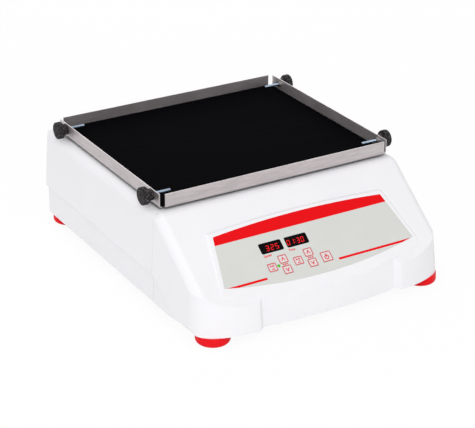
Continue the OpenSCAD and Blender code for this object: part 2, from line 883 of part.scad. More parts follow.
// Fluted head and plain hub of a thumb screw, outwards from the flange
module knob(x, y) {
    flutes = 16;
    chamfer = 1.2;
    color("dimgray")
        thumb_place(x, y)
            difference() {
                union() {
                    cylinder(d = hub_d, h = hub_l + 1);
                    intersection() {
                        translate([0, 0, hub_l])
                            linear_extrude(knob_l)
                                difference() {
                                    circle(d = knob_d);
                                    for (i = [0:flutes - 1])
                                        rotate([0, 0, i * 360 / flutes])
                                            translate([knob_d / 2 + 0.4, 0]) circle(1.3, $fn = 16);
                                }
                        rotate_extrude()
                            polygon([[0, 0], [knob_d / 2 - chamfer, hub_l],
                                [knob_d / 2, hub_l + chamfer],
                                [knob_d / 2, hub_l + knob_l - chamfer],
                                [knob_d / 2 - chamfer, hub_l + knob_l], [0, hub_l + knob_l]]);
                    }
                }
                translate([0, 0, -1]) cylinder(d = stud_d + 0.02, h = hub_l + 3);
            }
}

module stud(x, y)
    color("lightsteelblue")
        thumb_place(x, y)
            translate([0, 0, -sheet_t - stud_l]) cylinder(d = stud_d, h = stud_l + sheet_t + hub_l + 1.5);

module at_crank() translate([0, tray_y, 0]) children();

module grooved_wheel(r) {
    cylinder(r = r + groove_d, h = 1);
    cylinder(r = r, h = disc_t);
    translate([0, 0, disc_t - 1]) cylinder(r = r + groove_d, h = 1);
}

module crank_disc()
    color("silver")
        at_crank()
            difference() {
                translate([0, 0, disc_z]) grooved_wheel(disc_r);
                translate([0, 0, disc_z - 1]) cylinder(r = shaft_r + 0.02, h = 2 * disc_t);
                translate([0, -stroke_half, disc_z - 1]) cylinder(r = pin_hole_r, h = 2 * disc_t);
                for (a = [0:45:135])
                    rotate([0, 0, a - 67.5 + 45])
                        translate([30, 0, disc_z - 1]) cylinder(r = 6.5, h = 2 * disc_t);
            }

pin_hole_r = 2.42;

module crank_shaft()
    color("silver")
        at_crank()
            translate([0, 0, shaft_z]) cylinder(r = shaft_r, h = disc_z + disc_t - shaft_z - 0.5);

module crank_pin()
    color("silver")
        at_crank()
            translate([0, -stroke_half, 0]) {
                translate([0, 0, disc_z + 1]) cylinder(r = pin_hole_r - 0.02, h = disc_t);
                translate([0, 0, disc_z + disc_t])
                    cylinder(r = pin_r, h = roller_z + roller_t - disc_z - disc_t);
                translate([0, 0, disc_z + disc_t])
                    cylinder(r = pin_r + 2, h = roller_z - disc_z - disc_t - 0.3);
            }

module pin_roller()
    color("lightgray")
        at_crank()
            translate([0, -stroke_half, roller_z])
                difference() {
                    cylinder(d = roller_d, h = roller_t);
                    translate([0, 0, -1]) cylinder(r = pin_r + 0.02, h = 2 * roller_t);
                }

module counterweight()
    color("dimgray")
        at_crank()
            translate([0, 0, disc_z + disc_t])
                linear_extrude(6)
                    intersection() {
                        difference() {
                            circle(disc_r - 2);
                            circle(disc_r - 20);
                        }
                        polygon([[0, 0], [-60, 40], [-60, 90], [60, 90], [60, 40]]);
                    }

module bearing_housing()
    color("silver")
        at_crank()
            difference() {
                union() {
                    translate([0, 0, base_z]) cylinder(r = housing_r + 12, h = 5);
                    translate([0, 0, base_z]) cylinder(r = housing_r, h = housing_top - base_z);
                }
                translate([0, 0, base_z + 3]) cylinder(r = bearing_r - 2, h = through);
                for (z = [bearing_low, bearing_high])
                    translate([0, 0, z]) cylinder(r = bearing_r + 0.02, h = bearing_t);
                translate([0, 0, bearing_high]) cylinder(r = bearing_r + 0.02, h = through);
                for (a = [0:90:270])
                    rotate([0, 0, a + 45])
                        translate([housing_r + 6, 0, base_z - 1]) cylinder(r = 2.2, h = 9);
            }

bearing_low = base_z + 9;
bearing_high = housing_top - bearing_t;

module crank_bearings()
    color("lightgray")
        at_crank()
            for (z = [bearing_low, bearing_high])
                translate([0, 0, z])
                    difference() {
                        cylinder(r = bearing_r, h = bearing_t);
                        translate([0, 0, -1]) cylinder(r = shaft_r + run_fit, h = 2 * bearing_t);
                    }

module at_motor() translate([-motor_x, tray_y, 0]) children();

module motor()
    color("dimgray")
        at_motor()
            difference() {
                union() {
                    translate([0, 0, base_z + 6]) cylinder(r = motor_r, h = bracket_z - base_z - 6);
                    translate([0, 0, bracket_z - 1]) cylinder(r = 11, h = bracket_t);
                    translate([0, 0, base_z + 2]) cylinder(r = 9, h = 5);
                }
                translate([0, 0, bracket_z - 20]) cylinder(r = motor_shaft_r + run_fit, h = 40);
            }

module motor_bracket() {
    half = motor_r + bracket_margin;
    side_t = 3;
    color("gainsboro")
        at_motor()
            difference() {
                union() {
                    translate([0, 0, bracket_z]) block(2 * half, 2 * half + 2 * side_t, bracket_t);
                    for (s = [-1, 1]) {
                        translate([0, s * (half + side_t / 2), base_z])
                            block(2 * half, side_t, bracket_z - base_z + 1);
                        translate([0, s * (half + side_t / 2 + 6), base_z])
                            block(2 * half, 15, side_t);
                    }
                }
                translate([0, 0, bracket_z - 1]) cylinder(r = 11.1, h = 9);
                for (a = [0:90:270])
                    rotate([0, 0, a + 45])
                        translate([20, 0, bracket_z - 1]) cylinder(r = 2.1, h = 9);
            }
}

module motor_shaft()
    color("silver")
        at_motor() translate([0, 0, bracket_z - 18]) cylinder(r = motor_shaft_r, h = 18 + 16);

module motor_pulley()
    color("silver")
        at_motor()
            difference() {
                translate([0, 0, disc_z]) grooved_wheel(pulley_r);
                translate([0, 0, disc_z - 1]) cylinder(r = motor_shaft_r + 0.02, h = 2 * disc_t);
            }

module belt_loop(grow)
    hull() {
        translate([0, tray_y]) circle(disc_r + grow, $fn = 96);
        translate([-motor_x, tray_y]) circle(pulley_r + grow, $fn = 64);
    }

module drive_belt()
    color("black")
        translate([0, 0, disc_z + 1.5])
            linear_extrude(disc_t - 3)
                difference() {
                    belt_loop(belt_gap + belt_t);
                    belt_loop(belt_gap);
                }

supply_x = 40;
supply_y = back_y - 50;
supply_z = base_z + 8;
supply_size = [120, 34];
supply_hole = [54, 12];
transformer_size = [32, 28, 30];
choke_size = [22, 24, 18];
heatsink_size = [34, 3, 24];
capacitor_r = 6;
capacitor_h = 22;

module supply_board()
    color("green")
        difference() {
            union() {
                translate([supply_x, supply_y, supply_z])
                    block(supply_size.x, supply_size.y, board_t);
                for (x = [-supply_hole.x, supply_hole.x], y = [-supply_hole.y, supply_hole.y])
                    translate([supply_x + x, supply_y + y, base_z]) cylinder(r = 3, h = 8.5);
            }
            for (x = [-supply_hole.x, supply_hole.x], y = [-supply_hole.y, supply_hole.y])
                translate([supply_x + x, supply_y + y, base_z - 1]) cylinder(r = 1.5, h = 20);
        }

module supply_parts()
    color("steelblue")
        translate([supply_x, supply_y, supply_z + board_t]) {
            translate([-34, 0, 0])
                block(transformer_size.x, transformer_size.y, transformer_size.z);
            translate([2, 0, 0]) block(choke_size.x, choke_size.y, choke_size.z);
            for (x = [22, 38])
                translate([x, -6, 0]) cylinder(r = capacitor_r, h = capacitor_h);
            translate([30, 11, 0]) block(heatsink_size.x, heatsink_size.y, heatsink_size.z);
        }

inlet_x = case_w / 2 - 75.5;
inlet_z = 34.2;
inlet_body = [31, 29];
inlet_flange = [48, 31, 2];
inlet_depth = 24;
socket_size = [24.6, 16.6];
socket_depth = 17;
socket_up = 4.4;
drawer_size = [24, 6];
drawer_depth = 17;
drawer_down = 9;
switch_x = inlet_x - 52;
switch_body_size = [13.4, 22];
switch_flange = [16, 25.4, 2];
rocker_size = [10.6, 18.4];
rocker_r = 11;
rocker_swing = 8;

// Local frame on the back wall: X and Y across the wall, Z outwards
module on_back(x) translate([x, pan_back, inlet_z]) rotate([-90, 0, 0]) mirror([0, 1, 0]) children();

module power_inlet()
    color("black")
        on_back(inlet_x)
            difference() {
                union() {
                    block(inlet_flange.x, inlet_flange.y, inlet_flange.z);
                    translate([0, 0, -inlet_depth])
                        block(inlet_body.x, inlet_body.y, inlet_depth + 1);
                }
                translate([0, socket_up, inlet_flange.z - socket_depth])
                    block(socket_size.x, socket_size.y, through);
                translate([0, -drawer_down, inlet_flange.z - drawer_depth - skin])
                    block(drawer_size.x + 2 * skin, drawer_size.y + 2 * skin, through);
                for (x = [-20, 20])
                    translate([x, 0, -1]) cylinder(r = 1.7, h = 9);
            }

module inlet_pins()
    color("silver")
        on_back(inlet_x)
            for (p = [[-7, -2], [7, -2], [0, 2]])
                translate([p.x, socket_up + p.y, inlet_flange.z - socket_depth])
                    block(2, 4, socket_depth - 3);

module fuse_drawer()
    color("dimgray")
        on_back(inlet_x)
            translate([0, -drawer_down, inlet_flange.z - drawer_depth])
                difference() {
                    block(drawer_size.x, drawer_size.y, drawer_depth + 0.8);
                    translate([0, 0, drawer_depth - 0.2]) block(8, 1.6, 3);
                    translate([0, 1.5, 2]) block(20, 6, drawer_depth - 4);
                }

module switch_frame()
    color("black")
        on_back(switch_x)
            difference() {
                union() {
                    block(switch_flange.x, switch_flange.y, switch_flange.z);
                    translate([0, 0, -18])
                        block(switch_body_size.x, switch_body_size.y, 19);
                }
                translate([0, 0, -12]) block(rocker_size.x + 2 * skin, rocker_size.y + 2.4, through);
            }

// Rocker: a drum about its pivot with two flats that meet in a shallow valley
module switch_rocker()
    color("dimgray")
        on_back(switch_x)
            translate([0, 0, rocker_pivot])
                rotate([0, 90, 0])
                    rotate([0, 0, rocker_swing])
                        intersection() {
                            cylinder(r = rocker_r, h = rocker_size.x, center = true, $fn = 64);
                            translate([0, 0, -rocker_size.x / 2])
                                linear_extrude(rocker_size.x)
                                    polygon([[0, 0], [5, -rocker_size.y / 2],
                                        [-6.4, -rocker_size.y / 2], [-4.6, 0],
                                        [-6.4, rocker_size.y / 2], [5, rocker_size.y / 2]]);
                        }

rocker_pivot = -5;

module foot_nuts()
    color("silver")
        foot_places()
            translate([0, 0, base_z])
                difference() {
                    cylinder(r = 4.6, h = nut_t, $fn = 6);
                    translate([0, 0, -1]) cylinder(r = foot_bolt_r + 0.02, h = 9);
                }

module case_screws()
    color("silver")
        screw_places() {
            translate([0, 0, skirt_z + 2 - screw_head_t]) cylinder(r = screw_head_r, h = screw_head_t);
            translate([0, 0, skirt_z + 1]) cylinder(r = screw_r, h = boss_hole - skirt_z - 2);
        }

module drive_screws()
    color("silver") {
        at_crank()
            for (a = [0:90:270])
                rotate([0, 0, a + 45])
                    translate([housing_r + 6, 0, base_z + 5]) cylinder(r = 3.5, h = 3);
        at_motor()
            for (a = [0:90:270])
                rotate([0, 0, a + 45])
                    translate([20, 0, bracket_z + bracket_t]) cylinder(r = 3.3, h = 2.2);
    }

rear_cover();
base_pan();
console_cover();
panel_overlay();
display_windows();
display_modules();
control_board();
tact_switches();
status_led();
key(0);  // key_speed_select
key(1);  // key_speed_up
key(2);  // key_speed_down
key(3);  // key_time_select
key(4);  // key_time_up
key(5);  // key_time_down
key(6);  // key_start
chassis_plate();
feet();
foot_screws();
end_frames();
guide_rods();
bearing_blocks();
linear_bushings();
carriage_plate();
tray_posts();
slotted_yoke();
tray();
mat();
flange_inserts();
tray_screws();
knob(-1, -1);  // knob_front_left
knob(1, -1);  // knob_front_right
knob(-1, 1);  // knob_rear_left
knob(1, 1);  // knob_rear_right
stud(-1, -1);  // stud_front_left
stud(1, -1);  // stud_front_right
stud(-1, 1);  // stud_rear_left
stud(1, 1);  // stud_rear_right
crank_disc();
crank_shaft();
crank_pin();
pin_roller();
counterweight();
bearing_housing();
crank_bearings();
motor();
motor_bracket();
motor_shaft();
motor_pulley();
drive_belt();
supply_board();
supply_parts();
power_inlet();
inlet_pins();
fuse_drawer();
switch_frame();
switch_rocker();
foot_nuts();
case_screws();
drive_screws();
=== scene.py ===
"""Looks of a reciprocating bench shaker: moulded case, printed panel, steel tray, thumb screws,
drive and mains inlet, all built around the shaker's own frame in metres."""

import math

import bmesh
import bpy
from bpy.props import (
    FloatProperty,
    FloatVectorProperty,
    IntProperty,
    PointerProperty,
    StringProperty,
)
from bpy.types import Operator, Panel, PropertyGroup
from mathutils import Euler, Matrix, Vector


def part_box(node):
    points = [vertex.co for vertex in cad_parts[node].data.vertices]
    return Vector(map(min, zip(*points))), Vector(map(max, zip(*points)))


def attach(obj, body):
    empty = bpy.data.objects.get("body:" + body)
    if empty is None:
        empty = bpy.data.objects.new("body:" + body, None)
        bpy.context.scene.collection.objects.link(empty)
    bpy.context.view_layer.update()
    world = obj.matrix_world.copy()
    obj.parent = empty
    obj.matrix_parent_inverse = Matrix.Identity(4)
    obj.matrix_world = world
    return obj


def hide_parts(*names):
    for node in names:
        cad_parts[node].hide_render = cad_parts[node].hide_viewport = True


bl_info = {
    "name": "Reciprocating Shaker",
    "version": (1, 0, 0),
    "blender": (4, 5, 0),
    "location": "View3D > Sidebar > Shaker",
    "description": "Finishes, printed panel, thumb screws and studio for a reciprocating shaker",
    "category": "Object",
}

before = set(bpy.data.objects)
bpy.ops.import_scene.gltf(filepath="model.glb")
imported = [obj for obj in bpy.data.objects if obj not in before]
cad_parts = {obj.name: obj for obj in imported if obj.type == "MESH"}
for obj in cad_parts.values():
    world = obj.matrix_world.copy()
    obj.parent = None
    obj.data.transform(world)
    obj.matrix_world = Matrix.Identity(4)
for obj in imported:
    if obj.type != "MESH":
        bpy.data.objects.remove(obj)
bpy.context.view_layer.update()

MM = 0.001

# The side of the tray that each thumb screw is on
CORNERS = {"front_left": -1, "front_right": 1, "rear_left": -1, "rear_right": 1}

# Where the camera is, in metres, and how far it turns about X, Y and Z, in degrees
CAMERA_PLACE = (-0.95262, -1.56253, 0.92556)
CAMERA_TURNS = (64.4341, -0.407, -31.0701)

# Each lamp's place and width, and the point that all of them face, in metres
LAMPS = {
    "key": ((-0.6, -1.7, 2.2), 1.6),
    "fill": ((-0.9, -2.2, 1.0), 1.4),
    "rear": ((0.9, 2.0, 1.1), 1.6),
}
LAMPS_AIM = Vector((0, 0, 0.08))

# How far the floor lies below the feet, in metres, the share of plain white in it where it is
# seen directly, and the headings along X between which the surrounding light gets weaker
FLOOR_DROP = 0.1 * MM
FLOOR_WHITE = 0.93
SKY_FADE = (-0.1, 1.0)

# Edges that turn by more stay sharp, and points that lie closer are joined, in metres
SHARP_TURN = math.radians(30)
WELD_REACH = 0.01 * MM

# The panel's plane: its slope, and the middle of the label in millimetres
PANEL_SLOPE = math.radians(37.7)
PANEL_MIDDLE = Vector((0, -163.25, 85.1))

# The label's outline in the panel's plane, in millimetres
LABEL_HALF_TOP = 121
LABEL_HALF_LOW = 135.6
LABEL_HALF_HEIGHT = 33
LABEL_RISE = 6
LABEL_DROP = 14.5

# The power rocker: its pivot, the valley between its flats, their slope, its swing, and how far
# from the valley its marks are, in millimetres
ROCKER_PIVOT = Vector((52, 208.8, 34.2))
ROCKER_VALLEY = 4.6
ROCKER_FLAT = math.atan2(1.8, 9.2)
ROCKER_SWING = math.radians(8)
ROCKER_MARK = 5.2

# What is printed on the label: places across and up from its middle, and widths, heights and
# radii, in millimetres. The first number of a window and of its mask is their place up.
KEY_PLACES = {
    "speed_select": (-65, -23.4),
    "speed_up": (-47.2, -16.4),
    "speed_down": (-47.2, -30.8),
    "time_select": (-28.6, -23.5),
    "time_up": (-11.4, -16.4),
    "time_down": (-11.4, -30.8),
    "start": (9.5, -28),
}
KEY_SIZE = (11.6, 10.6)
START_SIZE = (14, 13)
INDICATOR_PLACE = (-56.2, -23.4)
INDICATOR_RIM = (2.0, 1.45)
MARKS_LEVEL = -23.6
MARK_PITCH = 2.7
MARK_BOX = (2.0, 1.6, 0.3)
BAR_TOP = -33.7
BAR_LOW = -36.6
BAR_ENDS = (-78.0, 24.0)
WINDOW_MIDDLES = (-54.8, -18.6)
WINDOW_BOX = (3.0, 30.2, 12.4, 0.05)
MASK_BOX = (2.5, 31.2, 14.2, 2.2)
CAPTION_PLACES = {"speed": (-64.2, -7.6), "time": (-30.4, -7.9)}
CAPTION_SIZE = 4.4
READING_PLACES = {"speed": (-53.4, 1.8), "time": (-20.6, 1.8)}
DIGIT_PITCHES = {"speed": 6.7, "time": 6.0}

# The displays' digits: width as a share of their pitch, thickness and the colon's width and rise
# as shares of their height, and how far they lean over their height
DIGIT_WIDTH = 0.66
DIGIT_THICKNESS = 0.09
COLON_WIDTH = 0.26
COLON_RISE = 0.2
DIGIT_LEAN = 0.12

# Height of each layer above the label's face, in millimetres
INK_FOOT = -0.02
CAPTION_FOOT = 0.01
INK_TOP = 0.03
DIGIT_TOP = 0.05
KEY_TOP = 0.1
LEGEND_TOP = 0.14


def srgb(red, green, blue):
    """A colour given by its display values from 0 to 255, as linear values."""
    linear = []
    for value in (red, green, blue):
        share = value / 255
        linear.append(share / 12.92 if share <= 0.04045 else ((share + 0.055) / 1.055) ** 2.4)
    return tuple(linear)


def shade(colour, factor):
    """The colour made darker or lighter."""
    return tuple(min(1.0, channel * factor) for channel in colour)


# The green indicator's light
INDICATOR_COLOUR = srgb(84, 180, 28)


# ---------------------------------------------------------------- sizes and colours


def colour_setting(name, description, default):
    """A colour, as linear values."""
    return FloatVectorProperty(
        name=name, description=description, subtype="COLOR", default=default, min=0, max=1
    )


def length_setting(name, description, default):
    """A length in metres."""
    return FloatProperty(name=name, description=description, default=default, unit="LENGTH")


def power_setting(name, description, default):
    """A lamp's power in watts."""
    return FloatProperty(name=name, description=description, default=default, unit="POWER")


class ShakerStageSettings(PropertyGroup):
    floor_size: length_setting("Floor size", "Width and depth of the pale floor", 40.0)
    floor_colour: colour_setting("Floor", "Colour of the floor", (0.95, 0.95, 0.95))
    sky_strength: FloatProperty(
        name="Surrounding light",
        description="Strength of the soft light from all around",
        default=0.88,
    )
    shaded_share: FloatProperty(
        name="Shaded side",
        description="Share of the surrounding light that comes from the right",
        default=0.33,
        min=0,
        max=1,
    )
    key_power: power_setting("Key lamp", "Power of the large lamp above the front", 19.0)
    fill_power: power_setting("Fill lamp", "Power of the low lamp at the front", 4.8)
    rear_power: power_setting("Rear lamp", "Power of the lamp behind the case", 8.0)
    sky_colour: colour_setting(
        "Surrounding colour", "Colour of the soft light from all around", (0.985, 0.985, 1.0)
    )
    lens: FloatProperty(
        name="Lens",
        description="Focal length of the camera",
        default=118.4655,
        subtype="DISTANCE_CAMERA",
    )


class ShakerCaseSettings(PropertyGroup):
    case_colour: colour_setting("Case", "Colour of the moulded case", srgb(240, 239, 241))
    case_roughness: FloatProperty(
        name="Case roughness",
        description="Roughness of the moulded case",
        default=0.42,
        min=0,
        max=1,
    )
    feet_colour: colour_setting("Feet", "Colour of the rubber feet", srgb(233, 18, 28))


class ShakerPanelSettings(PropertyGroup):
    label_colour: colour_setting("Label", "Colour of the label's film", srgb(212, 213, 208))
    key_colour: colour_setting("Keys", "Colour of the keys' faces", srgb(220, 214, 212))
    print_colour: colour_setting("Print", "Colour of the band and the bars", srgb(232, 12, 20))
    legend_colour: colour_setting(
        "Legends", "Colour of the keys' frames and signs", srgb(222, 62, 70)
    )
    digit_colour: colour_setting("Digits", "Colour of the lit digits", srgb(228, 30, 34))
    speed_reading: StringProperty(
        name="Speed",
        description="Reading of the speed display",
        default="325",
    )
    time_reading: StringProperty(
        name="Time",
        description="Reading of the time display",
        default="01:30",
    )
    digit_height: length_setting("Digit height", "Height of a lit digit", 7.0 * MM)
    band_foot: length_setting(
        "Band's lower edge",
        "Height of the band's straight edge above the label's middle",
        21.6 * MM,
    )


class ShakerTraySettings(PropertyGroup):
    steel_colour: colour_setting("Steel", "Colour of the brushed steel", srgb(197, 190, 191))
    # The underside's colour is painted shade: a near-black colour on the tray's faces that point
    # down, for the shadow in the gap under the tray
    underside_shade_colour: colour_setting(
        "Underside", "Colour of the damping coat below the tray", srgb(14, 14, 16)
    )
    mat_colour: colour_setting("Mat", "Colour of the rubber mat", srgb(7, 7, 9))


class ShakerScrewSettings(PropertyGroup):
    head_colour: colour_setting("Heads", "Colour of the thumb screws' heads", srgb(38, 34, 35))
    head_diameter: length_setting("Head diameter", "Diameter over the head's ridges", 22.6 * MM)
    head_length: length_setting("Head length", "Length of the ridged head", 8.2 * MM)
    hub_diameter: length_setting(
        "Hub diameter", "Diameter of the plain hub against the flange", 14.6 * MM
    )
    hub_length: length_setting("Hub length", "Length of the plain hub", 6.7 * MM)
    ridges: IntProperty(
        name="Ridges",
        description="Number of ridges around the head",
        default=26,
        min=8,
        max=60,
    )
    stud_diameter: length_setting("Stud diameter", "Diameter over the stud's thread", 4.0 * MM)
    stud_reach: length_setting(
        "Stud reach", "Length of the stud from the flange's outer face inwards", 25.2 * MM
    )
    thread_pitch: length_setting(
        "Thread pitch", "Distance from one turn of the thread to the next", 0.7 * MM
    )


class ShakerDriveSettings(PropertyGroup):
    steel_colour: colour_setting(
        "Plated steel", "Colour of the zinc-plated steel", srgb(186, 188, 190)
    )
    aluminium_colour: colour_setting(
        "Aluminium", "Colour of the milled aluminium", srgb(204, 205, 206)
    )
    board_colour: colour_setting(
        "Circuit boards", "Colour of the circuit boards' lacquer", srgb(20, 92, 52)
    )


# ---------------------------------------------------------------- finishes


def add_node(tree, kind, inputs=None, **settings):
    """A node with its settings, and each input set to a value or joined to an output."""
    node = tree.nodes.new(kind)
    for key, value in settings.items():
        setattr(node, key, value)
    for key, value in (inputs or {}).items():
        if isinstance(value, bpy.types.NodeSocket):
            tree.links.new(value, node.inputs[key])
        else:
            node.inputs[key].default_value = value
    return node


def empty_tree(owner):
    """The node tree of a material or world, emptied."""
    owner.use_nodes = True
    owner.node_tree.nodes.clear()
    return owner.node_tree


def new_finish(name, inputs=None):
    """A material with one main shader, its node tree, and that shader with its inputs set."""
    material = bpy.data.materials.new(name)
    tree = empty_tree(material)
    shader = add_node(tree, "ShaderNodeBsdfPrincipled", inputs)
    add_node(tree, "ShaderNodeOutputMaterial", {"Surface": shader.outputs["BSDF"]})
    return material, tree, shader


def stretched_place(tree, scale=(1, 1, 1)):
    """Places on the piece itself, stretched by scale."""
    place = add_node(tree, "ShaderNodeTexCoord").outputs["Object"]
    inputs = {"Vector": place, "Scale": scale}
    return add_node(tree, "ShaderNodeMapping", inputs).outputs["Vector"]


def noise(tree, place, scale, detail, rough=0.5):
    """Soft noise from 0 to 1."""
    inputs = {"Vector": place, "Scale": scale, "Detail": detail, "Roughness": rough}
    return add_node(tree, "ShaderNodeTexNoise", inputs).outputs["Fac"]


def spread(tree, value, low, high, start=0.3, end=0.7):
    """The value stretched from start and end to low and high."""
    inputs = {"Value": value, "From Min": start, "From Max": end, "To Min": low, "To Max": high}
    return add_node(tree, "ShaderNodeMapRange", inputs).outputs["Result"]


def tint(tree, value, dark, light):
    """A colour that runs from dark to light as the value grows."""
    ramp = add_node(tree, "ShaderNodeValToRGB", {"Fac": value})
    first, last = ramp.color_ramp.elements
    first.position, last.position = 0.3, 0.7
    first.color = (*dark, 1)
    last.color = (*light, 1)
    return ramp.outputs["Color"]


def join(tree, output, shader, socket):
    """Lets the output drive one of the shader's sockets."""
    tree.links.new(output, shader.inputs[socket])


def bump(tree, shader, height, depth):
    """Grain of this depth, in metres, that follows the height."""
    node = add_node(tree, "ShaderNodeBump", {"Height": height, "Distance": depth, "Strength": 1.0})
    join(tree, node.outputs["Normal"], shader, "Normal")


def vary(tree, shader, value, colour, shades, roughness):
    """Lets the value drive the colour between two shades, and the roughness between two levels."""
    dark, light = (shade(colour, factor) for factor in shades)
    join(tree, tint(tree, value, dark, light), shader, "Base Color")
    join(tree, spread(tree, value, *roughness), shader, "Roughness")


def moulded_plastic(name, colour, roughness):
    """Plastic from a spark-textured mould: an even fine grain, and slow changes of sheen."""
    material, tree, shader = new_finish(name, {"IOR": 1.46})
    place = stretched_place(tree)
    cloud = noise(tree, place, 14, 3)
    pits = noise(tree, place, 1100, 2, 0.6)
    vary(tree, shader, cloud, colour, (0.985, 1), (roughness - 0.04, roughness + 0.05))
    bump(tree, shader, pits, 0.05 * MM)
    return material


def soft_rubber(name, colour, roughness):
    """Rubber with a dull skin, faint mould marks and dust."""
    material, tree, shader = new_finish(name, {"Specular IOR Level": 0.12})
    place = stretched_place(tree)
    dust = noise(tree, place, 90, 5, 0.65)
    skin = noise(tree, place, 1500, 2)
    vary(tree, shader, dust, colour, (0.9, 1.05), (roughness - 0.08, roughness + 0.08))
    bump(tree, shader, skin, 0.04 * MM)
    return material


def rubber_mat(name, colour):
    """A black rubber mat: dull, with faint streaks from its calender rolls."""
    material, tree, shader = new_finish(name, {"Specular IOR Level": 0.004})
    streaks = noise(tree, stretched_place(tree, (2.5, 160, 160)), 1, 4, 0.6)
    skin = noise(tree, stretched_place(tree), 1300, 2)
    vary(tree, shader, streaks, colour, (0.8, 1.25), (0.62, 0.8))
    bump(tree, shader, skin, 0.03 * MM)
    return material


def brushed_steel(name, colour, underside):
    """Stainless sheet with a fine level grain, and painted shade: a dark colour on the faces that
    point down.
    """
    material, tree, shader = new_finish(name, {"Metallic": 0.82})
    fine = noise(tree, stretched_place(tree, (90, 90, 2200)), 1, 4, 0.7)
    broad = noise(tree, stretched_place(tree, (40, 40, 500)), 1, 3, 0.6)
    clouds = noise(tree, stretched_place(tree), 22, 2)
    both = add_node(tree, "ShaderNodeMath", {0: fine, 1: broad}, operation="ADD").outputs[0]
    mixed = add_node(tree, "ShaderNodeMath", {0: both, 1: 0.5}, operation="MULTIPLY").outputs[0]
    bright = tint(tree, mixed, shade(colour, 0.76), shade(colour, 1.17))
    normal = add_node(tree, "ShaderNodeNewGeometry").outputs["Normal"]
    facing = add_node(tree, "ShaderNodeSeparateXYZ", {"Vector": normal}).outputs["Z"]
    # Painted shade: faces that point down take the dark underside colour
    underside_shade = spread(tree, facing, 1.0, 0.0, -0.9, -0.6)
    inputs = {0: underside_shade, 6: bright, 7: (*underside, 1)}
    base = add_node(tree, "ShaderNodeMix", inputs, data_type="RGBA").outputs[2]
    join(tree, base, shader, "Base Color")
    join(tree, spread(tree, clouds, 0.36, 0.48), shader, "Roughness")
    bump(tree, shader, mixed, 0.015 * MM)
    return material


def plain_metal(name, colour, roughness, fineness=600, grain=0.02 * MM):
    """Metal with a fine worked skin and slow changes of sheen."""
    material, tree, shader = new_finish(name, {"Metallic": 1.0})
    place = stretched_place(tree)
    cloud = noise(tree, place, 60, 4, 0.6)
    skin = noise(tree, place, fineness, 3, 0.6)
    vary(tree, shader, cloud, colour, (0.86, 1.06), (roughness - 0.06, roughness + 0.1))
    bump(tree, shader, skin, grain)
    return material


def label_film(name, colour, gloss):
    """Polyester film with a fine velvet texture."""
    material, tree, shader = new_finish(name)
    place = stretched_place(tree)
    cloud = noise(tree, place, 25, 3)
    velvet = noise(tree, place, 2600, 1)
    vary(tree, shader, cloud, colour, (0.98, 1.01), (gloss - 0.03, gloss + 0.05))
    bump(tree, shader, velvet, 0.012 * MM)
    return material


def pebbled_plastic(name, colour):
    """Hard black plastic with a coarse pebbled skin, painted lighter on the pebbles' tops as
    highlights and darker between them as shade.
    """
    material, tree, shader = new_finish(name, {"Specular IOR Level": 0.3})
    place = stretched_place(tree)
    inputs = {"Vector": place, "Scale": 380.0, "Randomness": 0.9}
    pebbles = add_node(tree, "ShaderNodeTexVoronoi", inputs).outputs["Distance"]
    skin = noise(tree, place, 1500, 2)
    # Painted highlight on each pebble's top and painted shade between the pebbles, in the base
    # colour
    rise = spread(tree, pebbles, 1.0, 0.0, 0.0, 0.6)
    join(tree, tint(tree, rise, shade(colour, 0.25), shade(colour, 6.0)), shader, "Base Color")
    join(tree, spread(tree, skin, 0.5, 0.68), shader, "Roughness")
    bump(tree, shader, spread(tree, pebbles, 1.0, 0.0, 0.0, 0.7), 0.35 * MM)
    return material


def printed_ink(name, colour):
    """Screen-printed ink, a little uneven."""
    material, tree, shader = new_finish(name, {"Specular IOR Level": 0.08})
    dots = noise(tree, stretched_place(tree), 900, 3)
    vary(tree, shader, dots, colour, (0.94, 1.03), (0.4, 0.52))
    bump(tree, shader, dots, 0.006 * MM)
    return material


def lit_segment(name, colour, strength):
    """A lit part, such as a digit's segment, a little uneven."""
    inputs = {"Emission Strength": strength, "Roughness": 0.4, "Specular IOR Level": 0.05}
    material, tree, shader = new_finish(name, inputs)
    grains = noise(tree, stretched_place(tree), 700, 2)
    glow = tint(tree, grains, shade(colour, 0.86), colour)
    join(tree, glow, shader, "Base Color")
    join(tree, glow, shader, "Emission Color")
    return material


def smoked_window(name):
    """Dark acrylic with faint wiping marks."""
    material, tree, shader = new_finish(name, {"Specular IOR Level": 0.03})
    wipes = noise(tree, stretched_place(tree, (60, 300, 300)), 1, 3, 0.6)
    join(tree, tint(tree, wipes, srgb(9, 8, 9), srgb(16, 13, 14)), shader, "Base Color")
    join(tree, spread(tree, wipes, 0.16, 0.3), shader, "Roughness")
    return material


def circuit_board(name, colour):
    """A lacquered board: darker laminate with lighter copper runs below the lacquer."""
    material, tree, shader = new_finish(name, {"Roughness": 0.35})
    inputs = {"Vector": stretched_place(tree), "Scale": 260.0, "Mortar Size": 0.06, "Bias": 0.1}
    for socket, factor in (("Color1", 0.8), ("Color2", 1), ("Mortar", 1.9)):
        inputs[socket] = (*shade(colour, factor), 1)
    bricks = add_node(tree, "ShaderNodeTexBrick", inputs, offset=0.35, squash=1.6)
    join(tree, bricks.outputs["Color"], shader, "Base Color")
    bump(tree, shader, bricks.outputs["Fac"], 0.03 * MM)
    return material


def toothed_belt(name, colour):
    """Belt rubber with a fabric back."""
    material, tree, shader = new_finish(name)
    inputs = {"Vector": stretched_place(tree), "Scale": 420.0, "Distortion": 0.6}
    weave = add_node(tree, "ShaderNodeTexWave", inputs).outputs["Fac"]
    vary(tree, shader, weave, colour, (1, 2.2), (0.55, 0.75))
    bump(tree, shader, weave, 0.08 * MM)
    return material


